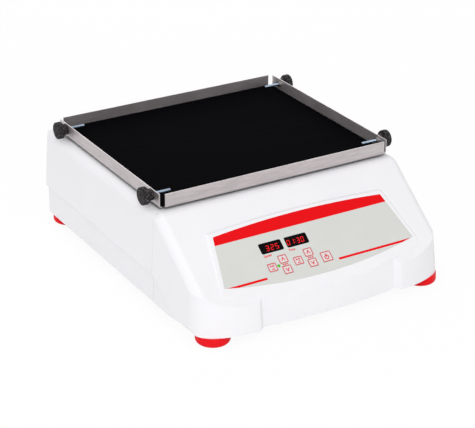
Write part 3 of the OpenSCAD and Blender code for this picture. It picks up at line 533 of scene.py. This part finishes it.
def smooth_group():
    """Geometry nodes that shade all faces smooth and keep sharp edges."""
    name = "smooth_by_turn"
    if name in bpy.data.node_groups:
        return bpy.data.node_groups[name]
    group = bpy.data.node_groups.new(name, "GeometryNodeTree")
    for direction in ("INPUT", "OUTPUT"):
        group.interface.new_socket("Geometry", in_out=direction, socket_type="NodeSocketGeometry")
    turn = add_node(group, "GeometryNodeInputMeshEdgeAngle").outputs["Unsigned Angle"]
    inputs = {"A": turn, "B": SHARP_TURN}
    is_sharp = add_node(group, "FunctionNodeCompare", inputs, operation="GREATER_THAN")
    source = add_node(group, "NodeGroupInput").outputs["Geometry"]
    faces = add_node(group, "GeometryNodeSetShadeSmooth", {"Geometry": source})
    inputs = {
        "Geometry": faces.outputs["Geometry"],
        "Selection": is_sharp.outputs["Result"],
        "Shade Smooth": False,
    }
    edges = add_node(group, "GeometryNodeSetShadeSmooth", inputs, domain="EDGE")
    add_node(group, "NodeGroupOutput", {"Geometry": edges.outputs["Geometry"]})
    return group


def smooth_shading(piece, weld=True):
    """Joins the piece's split points, then shades its curves smooth and its flats flat."""
    if weld:
        joined = piece.modifiers.new("Join points", "WELD")
        joined.merge_threshold = WELD_REACH
    piece.modifiers.new("Smooth", "NODES").node_group = smooth_group()
    flats = piece.modifiers.new("Flat faces", "WEIGHTED_NORMAL")
    flats.keep_sharp = True


def add_object(name, data):
    """A new object in the scene."""
    item = bpy.data.objects.new(name, data)
    bpy.context.scene.collection.objects.link(item)
    return item


def dress(material, *names):
    """Gives frame parts this finish and smooth shading."""
    for name in names:
        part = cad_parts[name]
        part.data.materials.clear()
        part.data.materials.append(material)
        smooth_shading(part)


# ---------------------------------------------------------------- meshes


def mesh_piece(name, material, body, slot, build, *details):
    """A new piece from a bmesh builder with its details, riding on a body of the frame."""
    mesh = bpy.data.meshes.new(name)
    shape = bmesh.new()
    build(shape, *details)
    bmesh.ops.recalc_face_normals(shape, faces=shape.faces)
    shape.to_mesh(mesh)
    shape.free()
    mesh.materials.append(material)
    piece = add_object(name, mesh)
    smooth_shading(piece, weld=False)
    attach(piece, body)
    return piece


def on_panel(x, v, w):
    """A point on the panel, from millimetres across, up and out of its face, in metres."""
    sine, cosine = math.sin(PANEL_SLOPE), math.cos(PANEL_SLOPE)
    offset = Vector((x, v * cosine - w * sine, v * sine + w * cosine))
    return (PANEL_MIDDLE + offset) * MM


def on_rocker(side, x, along, w):
    """A point on the rocker's upper or lower flat, from millimetres across, out from the valley
    between the flats, and out of the flat, in metres."""
    sine, cosine = math.sin(ROCKER_FLAT), math.cos(ROCKER_FLAT)
    depth = ROCKER_VALLEY + along * sine + w * cosine
    height = side * (along * cosine - w * sine)
    sine, cosine = math.sin(ROCKER_SWING), math.cos(ROCKER_SWING)
    out = depth * cosine + height * sine
    up = height * cosine - depth * sine
    return (ROCKER_PIVOT + Vector((x, out, up))) * MM


def add_band(shape, first, second):
    """Faces between two closed rows with the same number of points."""
    for i in range(len(first)):
        j = (i + 1) % len(first)
        shape.faces.new((first[i], first[j], second[j], second[i]))


def add_plate(shape, outline, foot, top, place=on_panel):
    """A thin flat plate with this outline, between two heights above a plane."""
    lower = [shape.verts.new(place(x, v, foot)) for x, v in outline]
    upper = [shape.verts.new(place(x, v, top)) for x, v in outline]
    shape.faces.new(lower[::-1])
    shape.faces.new(upper)
    add_band(shape, lower, upper)


def add_ring(shape, outer, inner, foot, top, place=on_panel):
    """A thin flat plate between two outlines that have the same number of points."""
    rings = []
    for outline, height in ((outer, foot), (outer, top), (inner, top), (inner, foot)):
        rings.append([shape.verts.new(place(x, v, height)) for x, v in outline])
    for first, second in zip(rings, rings[1:] + rings[:1]):
        add_band(shape, first, second)


def round_box(x, v, width, height, radius):
    """The outline of a box with rounded corners."""
    steps = 4
    points = []
    for turn, (side, end) in enumerate(((1, -1), (1, 1), (-1, 1), (-1, -1))):
        cx = x + side * (width / 2 - radius)
        cv = v + end * (height / 2 - radius)
        for i in range(steps + 1):
            angle = math.radians(-90 + 90 * turn + 90 * i / steps)
            points.append((cx + radius * math.cos(angle), cv + radius * math.sin(angle)))
    return points


def circle(x, v, radius):
    """The outline of a circle."""
    steps = 28
    turns = [2 * math.pi * i / steps for i in range(steps)]
    return [(x + radius * math.cos(a), v + radius * math.sin(a)) for a in turns]


def stroke(points, width):
    """The outline of a line of this width through the points, with mitred turns."""
    left, right, least = [], [], 0.4
    for i, point in enumerate(points):
        here = Vector(point)
        before = (here - Vector(points[i - 1])).normalized() if i else None
        after = (Vector(points[i + 1]) - here).normalized() if i + 1 < len(points) else None
        heading = ((before or after) + (after or before)).normalized()
        normal = Vector((-heading.y, heading.x))
        reach = width / 2 / max(least, heading.dot(after or before))
        left.append(tuple(here + normal * reach))
        right.append(tuple(here - normal * reach))
    return left[::-1] + right


def arc_fall(x, half, rise):
    """How far an arc with this half width and rise falls off at a distance from its middle."""
    radius = (half**2 + rise**2) / (2 * rise)
    return radius - math.sqrt(radius**2 - x**2)


def label_top_edge(x):
    """Height of the label's arched top edge."""
    return LABEL_HALF_HEIGHT + LABEL_RISE - arc_fall(x, LABEL_HALF_TOP, LABEL_RISE)


def label_low_edge(x):
    """Height of the label's bowed lower edge."""
    return arc_fall(x, LABEL_HALF_LOW, LABEL_DROP) - LABEL_HALF_HEIGHT - LABEL_DROP


def label_side(v):
    """Half the label's width at this height."""
    share = (LABEL_HALF_HEIGHT - v) / (2 * LABEL_HALF_HEIGHT)
    return LABEL_HALF_TOP + (LABEL_HALF_LOW - LABEL_HALF_TOP) * share


# The lit segments of each digit: a is at the top, b to f follow clockwise, g is in the middle
SEGMENTS = {
    "0": "abcdef",
    "1": "bc",
    "2": "abged",
    "3": "abgcd",
    "4": "fgbc",
    "5": "afgcd",
    "6": "afgedc",
    "7": "abc",
    "8": "abcdefg",
    "9": "abcdfg",
}


def segment_outlines(digit, width, height, thickness):
    """The lit segments of a digit as outlines around its middle."""
    half_w, half_h, half_t = width / 2, height / 2, thickness / 2
    gap = thickness * 0.18
    level = {"a": half_h - half_t, "g": 0.0, "d": half_t - half_h}
    upright = {"f": (-1, 1), "b": (1, 1), "e": (-1, -1), "c": (1, -1)}

    def bar(low, high, across):
        """A bar with pointed ends, as points along it and across."""
        near, far = low + half_t, high - half_t
        left, right = across + half_t, across - half_t
        points = [(low, across), (near, left), (far, left)]
        return points + [(high, across), (far, right), (near, right)]

    outlines = []
    for name in SEGMENTS[digit]:
        if name in level:
            reach = half_w - half_t - gap
            outlines.append(bar(-reach, reach, level[name]))
        else:
            side, end = upright[name]
            low, high = sorted((end * gap, end * (half_h - half_t - gap)))
            points = bar(low, high, -side * (half_w - half_t))
            outlines.append([(-across, along) for along, across in points])
    return outlines


def reading_outlines(text, x, v, height, pitch):
    """A seven-segment reading around a point, leaning a little to the right."""
    width, thickness = pitch * DIGIT_WIDTH, height * DIGIT_THICKNESS
    advance = {character: pitch for character in SEGMENTS}
    advance[":"] = height * COLON_WIDTH
    cursor = x - sum(advance[character] for character in text) / 2
    outlines = []
    for character in text:
        middle = cursor + advance[character] / 2
        if character == ":":
            rise = height * COLON_RISE
            parts = [
                round_box(0, end * rise, thickness, thickness, radius=0.1) for end in (-1, 1)
            ]
        else:
            parts = segment_outlines(character, width, height, thickness)
        for part in parts:
            outlines.append([(middle + px + DIGIT_LEAN * pv, v + pv) for px, pv in part])
        cursor += advance[character]
    return outlines


def add_lathe(shape, rings, place):
    """A closed turned form from rings of points, each ring a list of (radius, angle, height)."""
    rows = []
    for ring in rings:
        points = [place(r * math.cos(a), r * math.sin(a), z) for r, a, z in ring]
        rows.append([shape.verts.new(point) for point in points])
    for lower, upper in zip(rows, rows[1:]):
        add_band(shape, lower, upper)
    shape.faces.new(rows[0][::-1])
    shape.faces.new(rows[-1])


# ---------------------------------------------------------------- operators


class SHAKER_OT_add_stage(Operator):
    """Adds the pale floor, the soft lamps and the camera"""

    bl_idname = "shaker.add_stage"
    bl_label = "Add Stage"

    def execute(self, context):
        settings = context.scene.shaker_stage
        context.scene.view_settings.view_transform = "Standard"
        self.add_floor(settings)
        self.light_surroundings(context.scene, settings)
        for name, (place, size) in LAMPS.items():
            self.add_lamp(f"{name}_lamp", getattr(settings, f"{name}_power"), place, size)
        self.add_camera(context.scene, settings)
        return {"FINISHED"}

    def add_floor(self, settings):
        """A pale floor just below the feet, which shows white and still takes the shadow."""
        half, z = settings.floor_size / 2, -FLOOR_DROP
        mesh = bpy.data.meshes.new("floor")
        corners = [(-half, -half, z), (half, -half, z), (half, half, z), (-half, half, z)]
        mesh.from_pydata(corners, [], [(0, 1, 2, 3)])
        material = bpy.data.materials.new("floor_paper")
        tree = empty_tree(material)
        fibres = noise(tree, stretched_place(tree), 300, 3)
        colour = settings.floor_colour
        pale = tint(tree, fibres, shade(colour, 0.985), colour)
        paper = add_node(tree, "ShaderNodeBsdfDiffuse", {"Color": pale})
        white = add_node(tree, "ShaderNodeEmission", {"Color": (1, 1, 1, 1), "Strength": 1.0})
        share = self.seen_directly(tree, FLOOR_WHITE)
        inputs = {0: share, 1: paper.outputs["BSDF"], 2: white.outputs["Emission"]}
        mixed = add_node(tree, "ShaderNodeMixShader", inputs)
        add_node(tree, "ShaderNodeOutputMaterial", {"Surface": mixed.outputs["Shader"]})
        mesh.materials.append(material)
        floor = add_object("floor", mesh)

    def seen_directly(self, tree, share):
        """The share for what is seen directly, in metal or through glass, and 0 for other light."""
        path = add_node(tree, "ShaderNodeLightPath")
        total = path.outputs["Is Camera Ray"]
        for ray in ("Is Glossy Ray", "Is Transmission Ray"):
            inputs = {0: total, 1: path.outputs[ray]}
            total = add_node(tree, "ShaderNodeMath", inputs, operation="MAXIMUM").outputs[0]
        inputs = {0: total, 1: share}
        return add_node(tree, "ShaderNodeMath", inputs, operation="MULTIPLY").outputs[0]

    def light_surroundings(self, scene, settings):
        """Soft light from all around, weaker from the right, before a white backdrop."""
        world = bpy.data.worlds.new("studio")
        tree = empty_tree(world)
        heading = add_node(tree, "ShaderNodeTexCoord").outputs["Generated"]
        across = add_node(tree, "ShaderNodeSeparateXYZ", {"Vector": heading}).outputs["X"]
        full = settings.sky_strength
        level = spread(tree, across, full, full * settings.shaded_share, *SKY_FADE)
        light = {"Color": (*settings.sky_colour, 1), "Strength": level}
        lighting = add_node(tree, "ShaderNodeBackground", light)
        seen = add_node(tree, "ShaderNodeBackground", {"Color": (1, 1, 1, 1), "Strength": 1.0})
        share = self.seen_directly(tree, 1.0)
        inputs = {0: share, 1: lighting.outputs["Background"], 2: seen.outputs["Background"]}
        mixed = add_node(tree, "ShaderNodeMixShader", inputs)
        add_node(tree, "ShaderNodeOutputWorld", {"Surface": mixed.outputs["Shader"]})
        scene.world = world

    def add_lamp(self, name, power, place, size):
        """A square soft lamp that faces the object."""
        light = bpy.data.lights.new(name, "AREA")
        light.energy = power
        light.size = size
        lamp = add_object(name, light)
        lamp.location = place
        aim = LAMPS_AIM - Vector(place)
        lamp.rotation_euler = aim.to_track_quat("-Z", "Y").to_euler()

    def add_camera(self, scene, settings):
        """The camera, above the front left corner."""
        lens = bpy.data.cameras.new("camera")
        lens.lens = settings.lens
        lens.sensor_width = 36
        camera = add_object("camera", lens)
        camera.location = CAMERA_PLACE
        camera.rotation_euler = Euler([math.radians(turn) for turn in CAMERA_TURNS])
        scene.camera = camera


class SHAKER_OT_finish_case(Operator):
    """Gives the case, the feet and what holds the case together their finishes"""

    bl_idname = "shaker.finish_case"
    bl_label = "Finish Case"

    def execute(self, context):
        settings = context.scene.shaker_case
        case = moulded_plastic("case_plastic", settings.case_colour, settings.case_roughness)
        dress(case, "rear_cover", "base_pan", "console_cover")
        dress(soft_rubber("red_rubber", settings.feet_colour, 0.45), "feet")
        plated = plain_metal("plated_screws", srgb(180, 182, 186), 0.3)
        dress(plated, "foot_screws", "foot_nuts", "case_screws")
        return {"FINISHED"}


class SHAKER_OT_finish_panel(Operator):
    """Gives the label, the keys, the displays and the boards behind them their finishes"""

    bl_idname = "shaker.finish_panel"
    bl_label = "Finish Panel"

    def execute(self, context):
        settings = context.scene.shaker_panel
        dress(label_film("label_film", settings.label_colour, 0.36), "panel_overlay")
        keys = label_film("key_film", settings.key_colour, 0.42)
        dress(keys, *(f"key_{name}" for name in KEY_PLACES))
        dress(smoked_window("smoked_window"), "display_windows")
        dress(moulded_plastic("module_plastic", srgb(60, 60, 62), 0.5), "display_modules")
        dress(lit_segment("green_lamp", INDICATOR_COLOUR, 0.2), "status_led")
        dress(plain_metal("switch_tin", srgb(190, 190, 190), 0.32), "tact_switches")
        colour = context.scene.shaker_drive.board_colour
        dress(circuit_board("board_lacquer", colour), "control_board", "supply_board")
        return {"FINISHED"}


class SHAKER_OT_print_panel(Operator):
    """Prints the band, bars, masks, captions and legends, and lights the digits and the lamp"""

    bl_idname = "shaker.print_panel"
    bl_label = "Print Panel"

    def execute(self, context):
        settings = context.scene.shaker_panel
        ink = printed_ink("red_ink", settings.print_colour)
        legend = printed_ink("legend_ink", settings.legend_colour)
        glow = lit_segment("lit_digit", settings.digit_colour, 1.0)
        foot = settings.band_foot / MM
        mesh_piece("print_band", ink, "case", "label", self.build_band, foot)
        mesh_piece("print_bars", ink, "case", "label", self.build_bars)
        mesh_piece("print_marks", legend, "case", "label", self.build_marks)
        dark = printed_ink("black_ink", srgb(9, 8, 9))
        mesh_piece("print_masks", dark, "case", "label", self.build_masks)
        halo = lit_segment("lamp_halo", INDICATOR_COLOUR, 0.1)
        mesh_piece("print_lamp", halo, "case", "label", self.build_lamp)
        for key, place in CAPTION_PLACES.items():
            self.add_caption(f"caption_{key}", key.title(), place, ink)
        height = settings.digit_height / MM
        for key, place in READING_PLACES.items():
            text = getattr(settings, f"{key}_reading")
            lit = reading_outlines(text, *place, height, DIGIT_PITCHES[key])
            mesh_piece(f"digits_{key}", glow, "case", "window", self.build_digits, lit)
        for key in KEY_PLACES:
            body = f"key_{key}_body"
            mesh_piece(f"legend_{key}", legend, body, "key", self.build_legend, key)
        return {"FINISHED"}

    def build_band(self, shape, foot):
        """The band between the label's arched top and a straight line."""
        steps = 48
        edge = [label_side(foot) * (1 - 2 * i / steps) for i in range(steps + 1)]
        top = []
        for x in edge:
            reach = min(LABEL_HALF_TOP, abs(x)) * (1 if x > 0 else -1)
            top.append((reach, label_top_edge(reach)))
        outline, nearest = [], 0.01
        for point in [(-edge[0], foot), (edge[0], foot)] + top:
            if not outline or (Vector(point) - Vector(outline[-1])).length > nearest:
                outline.append(point)
        add_plate(shape, outline, INK_FOOT, INK_TOP)

    def build_bars(self, shape):
        """The two slim bars that run out to the label's bottom corners."""
        margin, fine, coarse = 0.2, 0.05, 0.8
        for inner, side in zip(BAR_ENDS, (-1, 1)):
            outline = [(inner, BAR_LOW), (inner, BAR_TOP)]
            x = LABEL_HALF_LOW - margin
            while label_low_edge(x) > BAR_TOP:
                x -= fine
            while label_low_edge(x) > BAR_LOW:
                outline.append((side * x, label_low_edge(x)))
                x -= coarse
            outline.append((side * x, BAR_LOW))
            if side > 0:
                outline = outline[::-1]
            add_plate(shape, outline, INK_FOOT, INK_TOP)

    def build_masks(self, shape):
        """The black masks with rounded corners around the two windows."""
        for x in WINDOW_MIDDLES:
            outer, inner = round_box(x, *MASK_BOX), round_box(x, *WINDOW_BOX)
            add_ring(shape, outer, inner, INK_FOOT, INK_TOP)

    def build_lamp(self, shape):
        """The lit rim around the green indicator."""
        outer, inner = (circle(*INDICATOR_PLACE, radius) for radius in INDICATOR_RIM)
        add_ring(shape, outer, inner, INK_FOOT, INK_TOP)

    def build_marks(self, shape):
        """The small marks between the up and down keys."""
        for key in ("speed_up", "time_up"):
            x, _ = KEY_PLACES[key]
            for i in (-1, 0, 1):
                mark = round_box(x + i * MARK_PITCH, MARKS_LEVEL, *MARK_BOX)
                add_plate(shape, mark, INK_FOOT, INK_TOP)

    def build_digits(self, shape, lit):
        """The lit segments of one display's reading."""
        for outline in lit:
            add_plate(shape, outline, INK_FOOT, DIGIT_TOP)

    def build_legend(self, shape, name):
        """A key's frame and its sign."""
        x, v = KEY_PLACES[name]
        size = START_SIZE if name == "start" else KEY_SIZE
        margin, line = 0.1, 0.95
        width, height = (side - margin for side in size)
        layer = (KEY_TOP + INK_FOOT, LEGEND_TOP)
        outer = round_box(x, v, width, height, radius=1.5)
        inner = round_box(x, v, width - 2 * line, height - 2 * line, radius=0.7)
        add_ring(shape, outer, inner, *layer)
        for outline in self.sign_outlines(name):
            add_plate(shape, [(x + px, v + pv) for px, pv in outline], *layer)
        if name == "start":
            outer, inner = (circle(x, v - 0.8, radius) for radius in (3.2, 2.0))
            add_ring(shape, outer, inner, *layer)

    def sign_outlines(self, name):
        """The strokes of a key's sign around its middle."""
        if name.endswith("_up"):
            return [stroke([(-2.2, -1.9), (0, 2.0), (2.2, -1.9)], 1.2)]
        if name.endswith("_down"):
            return [stroke([(-2.2, 1.9), (0, -2.0), (2.2, 1.9)], 1.2)]
        if name == "start":
            return [stroke([(0, -0.9), (0, 3.9)], 1.3)]
        return [
            stroke([(-2.2, 0.6), (-2.2, 2.7), (0, 1.3), (2.2, 2.7), (2.2, 0.6)], 1.0),
            stroke([(-2.2, -2.8), (2.2, -2.8)], 1.0),
            stroke([(-0.2, -0.9), (2.2, -0.9)], 1.0),
        ]

    def add_caption(self, name, words, place, material):
        """A short word in raised ink, as a mesh."""
        curve = bpy.data.curves.new(name + "_letters", "FONT")
        curve.body = words
        curve.size = CAPTION_SIZE * MM
        curve.extrude = 0.02 * MM
        curve.offset = 0.1 * MM
        curve.align_x = curve.align_y = "CENTER"
        letters = add_object(name + "_letters", curve)
        bpy.context.view_layer.update()
        depsgraph = bpy.context.evaluated_depsgraph_get()
        mesh = bpy.data.meshes.new_from_object(letters.evaluated_get(depsgraph))
        mesh.name = name
        bpy.data.objects.remove(letters)
        slope = Matrix.Rotation(PANEL_SLOPE, 4, "X")
        mesh.transform(Matrix.Translation(on_panel(*place, CAPTION_FOOT)) @ slope)
        mesh.materials.clear()
        mesh.materials.append(material)
        piece = add_object(name, mesh)
        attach(piece, "case")


class SHAKER_OT_finish_tray(Operator):
    """Gives the tray, the mat, the inserts and the tray screws their finishes"""

    bl_idname = "shaker.finish_tray"
    bl_label = "Finish Tray"

    def execute(self, context):
        settings = context.scene.shaker_tray
        colours = settings.steel_colour, settings.underside_shade_colour
        dress(brushed_steel("tray_steel", *colours), "tray")
        dress(rubber_mat("black_mat", settings.mat_colour), "mat")
        dress(plain_metal("insert_steel", srgb(176, 172, 168), 0.35), "flange_inserts")
        screws = plain_metal("tray_screw_steel", srgb(178, 180, 184), 0.3)
        dress(screws, "tray_screws", "tray_posts")
        return {"FINISHED"}


class SHAKER_OT_add_thumb_screws(Operator):
    """Adds the four thumb screws: ridged heads with plain hubs, and threaded studs"""

    bl_idname = "shaker.add_thumb_screws"
    bl_label = "Add Thumb Screws"

    def execute(self, context):
        settings = context.scene.shaker_screws
        plastic = pebbled_plastic("head_plastic", settings.head_colour)
        zinc = plain_metal("stud_zinc", srgb(168, 184, 202), 0.28)
        for corner, side in CORNERS.items():
            low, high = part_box(f"stud_{corner}")
            middle = (low + high) / 2
            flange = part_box("tray")[1 if side > 0 else 0].x

            def place(a, b, outwards):
                return Vector((flange + side * outwards, middle.y + side * a, middle.z + b))

            body = f"thumb_screw_{corner}"
            for kind, material, slot, build in (
                ("head", plastic, "knob", self.build_head),
                ("thread", zinc, "stud", self.build_stud),
            ):
                name = f"{kind}_{corner}"
                piece = mesh_piece(name, material, body, slot, build, settings, place)
                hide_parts(f"{slot}_{corner}")
        return {"FINISHED"}

    def build_head(self, shape, settings, place):
        """A plain hub, then a head with rounded shoulders, crossed ridges and a pebbled face."""
        radius = settings.head_diameter / 2
        hub = settings.hub_diameter / 2
        start = settings.hub_length
        end = start + settings.head_length
        round_r, chamfer = 1.5 * MM, 0.4 * MM
        steps, rows, facets = 5, 10, 8
        # Each row of the profile: radius, height, and the share of the ridges and of the pebbles
        profile = [(hub - chamfer, 0.0, 0, 0), (hub, chamfer, 0, 0)]
        profile += [(hub, start - 0.6 * MM, 0, 0), (hub + chamfer, start, 0, 0)]
        profile.append((radius - round_r - chamfer, start + 0.05 * MM, 0, 0))
        shares = [i / steps for i in range(steps + 1)]
        for share in shares:
            angle = math.pi / 2 * (share - 1)
            r = radius - round_r + round_r * math.cos(angle)
            profile.append((r, start + round_r + round_r * math.sin(angle), share, 0))
        for i in range(1, rows):
            z = start + round_r + (settings.head_length - 2 * round_r) * i / rows
            profile.append((radius, z, 1, 0))
        for share in shares:
            angle = math.pi / 2 * share
            r = radius - round_r + round_r * math.cos(angle)
            profile.append((r, end - round_r + round_r * math.sin(angle), 1 - share, share))
        r = radius - round_r
        while r > 1.0 * MM:
            r -= 0.55 * MM
            profile.append((r, end, 0, 1))
        count = settings.ridges * facets
        wave = 2 * math.pi / (2.6 * MM)
        ridge, sink, pebble = 0.7 * MM, 0.32 * MM, 0.3 * MM
        rings = []
        for r, z, ridged, pebbled in profile:
            ring = []
            for i in range(count):
                angle = 2 * math.pi * i / count
                turn = settings.ridges * angle
                rim = 0.5 - 0.25 * (math.cos(turn + wave * z) + math.cos(turn - wave * z))
                grid = math.cos(wave * r * math.cos(angle)) * math.cos(wave * r * math.sin(angle))
                height = z - pebbled * (sink - pebble * grid)
                ring.append((r - ridge * ridged * rim, angle, height))
            rings.append(ring)
        add_lathe(shape, rings, place)

    def build_stud(self, shape, settings, place):
        """A rod with a rolled thread that runs into the hub."""
        radius = settings.stud_diameter / 2
        pitch = settings.thread_pitch
        depth, taper, nose, tail = 0.27 * MM, 0.4 * MM, 0.7 * MM, 0.3 * MM
        count, per_turn = 24, 8
        angles = [2 * math.pi * i / count for i in range(count)]
        inner, outer = -settings.stud_reach, settings.hub_length
        rows = int((outer - inner) / pitch * per_turn)
        rings = [[(radius - nose, angle, inner) for angle in angles]]
        for row in range(1, rows):
            z = inner + (outer - inner) * row / rows
            run_in = min(1.0, (z - inner) / pitch)
            ring = []
            for i, angle in enumerate(angles):
                phase = (z / pitch - i / count) % 1.0
                height = abs(2 * phase - 1)
                r = radius - depth * (1 - height) - (1 - run_in) * taper
                ring.append((r, angle, z))
            rings.append(ring)
        rings.append([(radius - tail, angle, outer) for angle in angles])
        add_lathe(shape, rings, place)


class SHAKER_OT_finish_drive(Operator):
    """Gives the chassis, the slide, the crank, the motor and the supply their finishes"""

    bl_idname = "shaker.finish_drive"
    bl_label = "Finish Drive"

    def execute(self, context):
        settings = context.scene.shaker_drive
        plated, aluminium = settings.steel_colour, settings.aluminium_colour
        metals = (
            ("chassis_steel", plated, 0.38, "chassis_plate", "motor_bracket"),
            ("ground_rod", srgb(206, 208, 212), 0.16, "guide_rods"),
            ("turned_steel", srgb(186, 186, 188), 0.24, "crank_shaft", "crank_pin", "motor_shaft"),
            ("block_aluminium", aluminium, 0.36, "bearing_blocks"),
            ("bushing_bronze", srgb(190, 150, 88), 0.35, "linear_bushings"),
            ("bearing_steel", srgb(198, 199, 202), 0.2, "crank_bearings", "pin_roller"),
            ("blackened_steel", srgb(96, 98, 104), 0.45, "slotted_yoke", "counterweight"),
            ("drive_screw_steel", srgb(176, 178, 182), 0.28, "drive_screws"),
        )
        for name, colour, roughness, *parts in metals:
            dress(plain_metal(name, colour, roughness), *parts)
        dress(plain_metal("frame_aluminium", aluminium, 0.4, 900), "end_frames", "carriage_plate")
        cast = plain_metal("cast_aluminium", srgb(168, 169, 171), 0.52, 260, 0.12 * MM)
        dress(cast, "crank_disc", "bearing_housing", "motor_pulley")
        dress(moulded_plastic("motor_enamel", srgb(58, 60, 64), 0.42), "motor")
        dress(toothed_belt("belt_rubber", srgb(22, 22, 23)), "drive_belt")
        dress(moulded_plastic("component_resin", srgb(52, 88, 128), 0.4), "supply_parts")
        return {"FINISHED"}


class SHAKER_OT_finish_inlet(Operator):
    """Gives the mains inlet, the fuse drawer and the power switch their finishes and marks"""

    bl_idname = "shaker.finish_inlet"
    bl_label = "Finish Inlet"

    def execute(self, context):
        black = moulded_plastic("inlet_plastic", srgb(26, 26, 28), 0.45)
        dress(black, "power_inlet", "switch_frame")
        dress(moulded_plastic("drawer_plastic", srgb(40, 40, 43), 0.5), "fuse_drawer")
        dress(moulded_plastic("rocker_plastic", srgb(34, 34, 36), 0.35), "switch_rocker")
        dress(plain_metal("pin_brass", srgb(206, 202, 190), 0.22), "inlet_pins")
        white = printed_ink("white_ink", srgb(226, 226, 224))
        mesh_piece("rocker_marks", white, "power_rocker", "inlet", self.build_marks)
        return {"FINISHED"}

    def build_marks(self, shape):
        """The line and the circle printed on the rocker's two flats."""
        outer, inner = circle(0, ROCKER_MARK, 1.9), circle(0, ROCKER_MARK, 1.2)
        add_ring(shape, outer, inner, INK_FOOT, INK_TOP, lambda *at: on_rocker(1, *at))
        line = round_box(0, ROCKER_MARK, 0.8, 3.8, 0.2)
        add_plate(shape, line, INK_FOOT, INK_TOP, lambda *at: on_rocker(-1, *at))


class SHAKER_PT_shaker(Panel):
    """Lists the shaker's steps and settings"""

    bl_idname = "SHAKER_PT_shaker"
    bl_label = "Reciprocating Shaker"
    bl_space_type = "VIEW_3D"
    bl_region_type = "UI"
    bl_category = "Shaker"

    def draw(self, context):
        for operator in OPERATORS:
            self.layout.operator(operator.bl_idname)
        for name, group in SETTINGS.items():
            box = self.layout.box()
            for setting in group.__annotations__:
                box.prop(getattr(context.scene, name), setting)


SETTINGS = {
    "shaker_stage": ShakerStageSettings,
    "shaker_case": ShakerCaseSettings,
    "shaker_panel": ShakerPanelSettings,
    "shaker_tray": ShakerTraySettings,
    "shaker_screws": ShakerScrewSettings,
    "shaker_drive": ShakerDriveSettings,
}
OPERATORS = (
    SHAKER_OT_add_stage,
    SHAKER_OT_finish_case,
    SHAKER_OT_finish_panel,
    SHAKER_OT_print_panel,
    SHAKER_OT_finish_tray,
    SHAKER_OT_add_thumb_screws,
    SHAKER_OT_finish_drive,
    SHAKER_OT_finish_inlet,
)


def register():
    for cls in (*SETTINGS.values(), *OPERATORS, SHAKER_PT_shaker):
        bpy.utils.register_class(cls)
    for name, group in SETTINGS.items():
        setattr(bpy.types.Scene, name, PointerProperty(type=group))


def unregister():
    for name in SETTINGS:
        delattr(bpy.types.Scene, name)
    for cls in (SHAKER_PT_shaker, *OPERATORS[::-1], *SETTINGS.values()):
        bpy.utils.unregister_class(cls)


def main():
    register()
    bpy.ops.shaker.add_stage()
    bpy.ops.shaker.finish_case()
    bpy.ops.shaker.finish_panel()
    bpy.ops.shaker.print_panel()
    bpy.ops.shaker.finish_tray()
    bpy.ops.shaker.add_thumb_screws()
    bpy.ops.shaker.finish_drive()
    bpy.ops.shaker.finish_inlet()


if __name__ == "__main__":
    main()
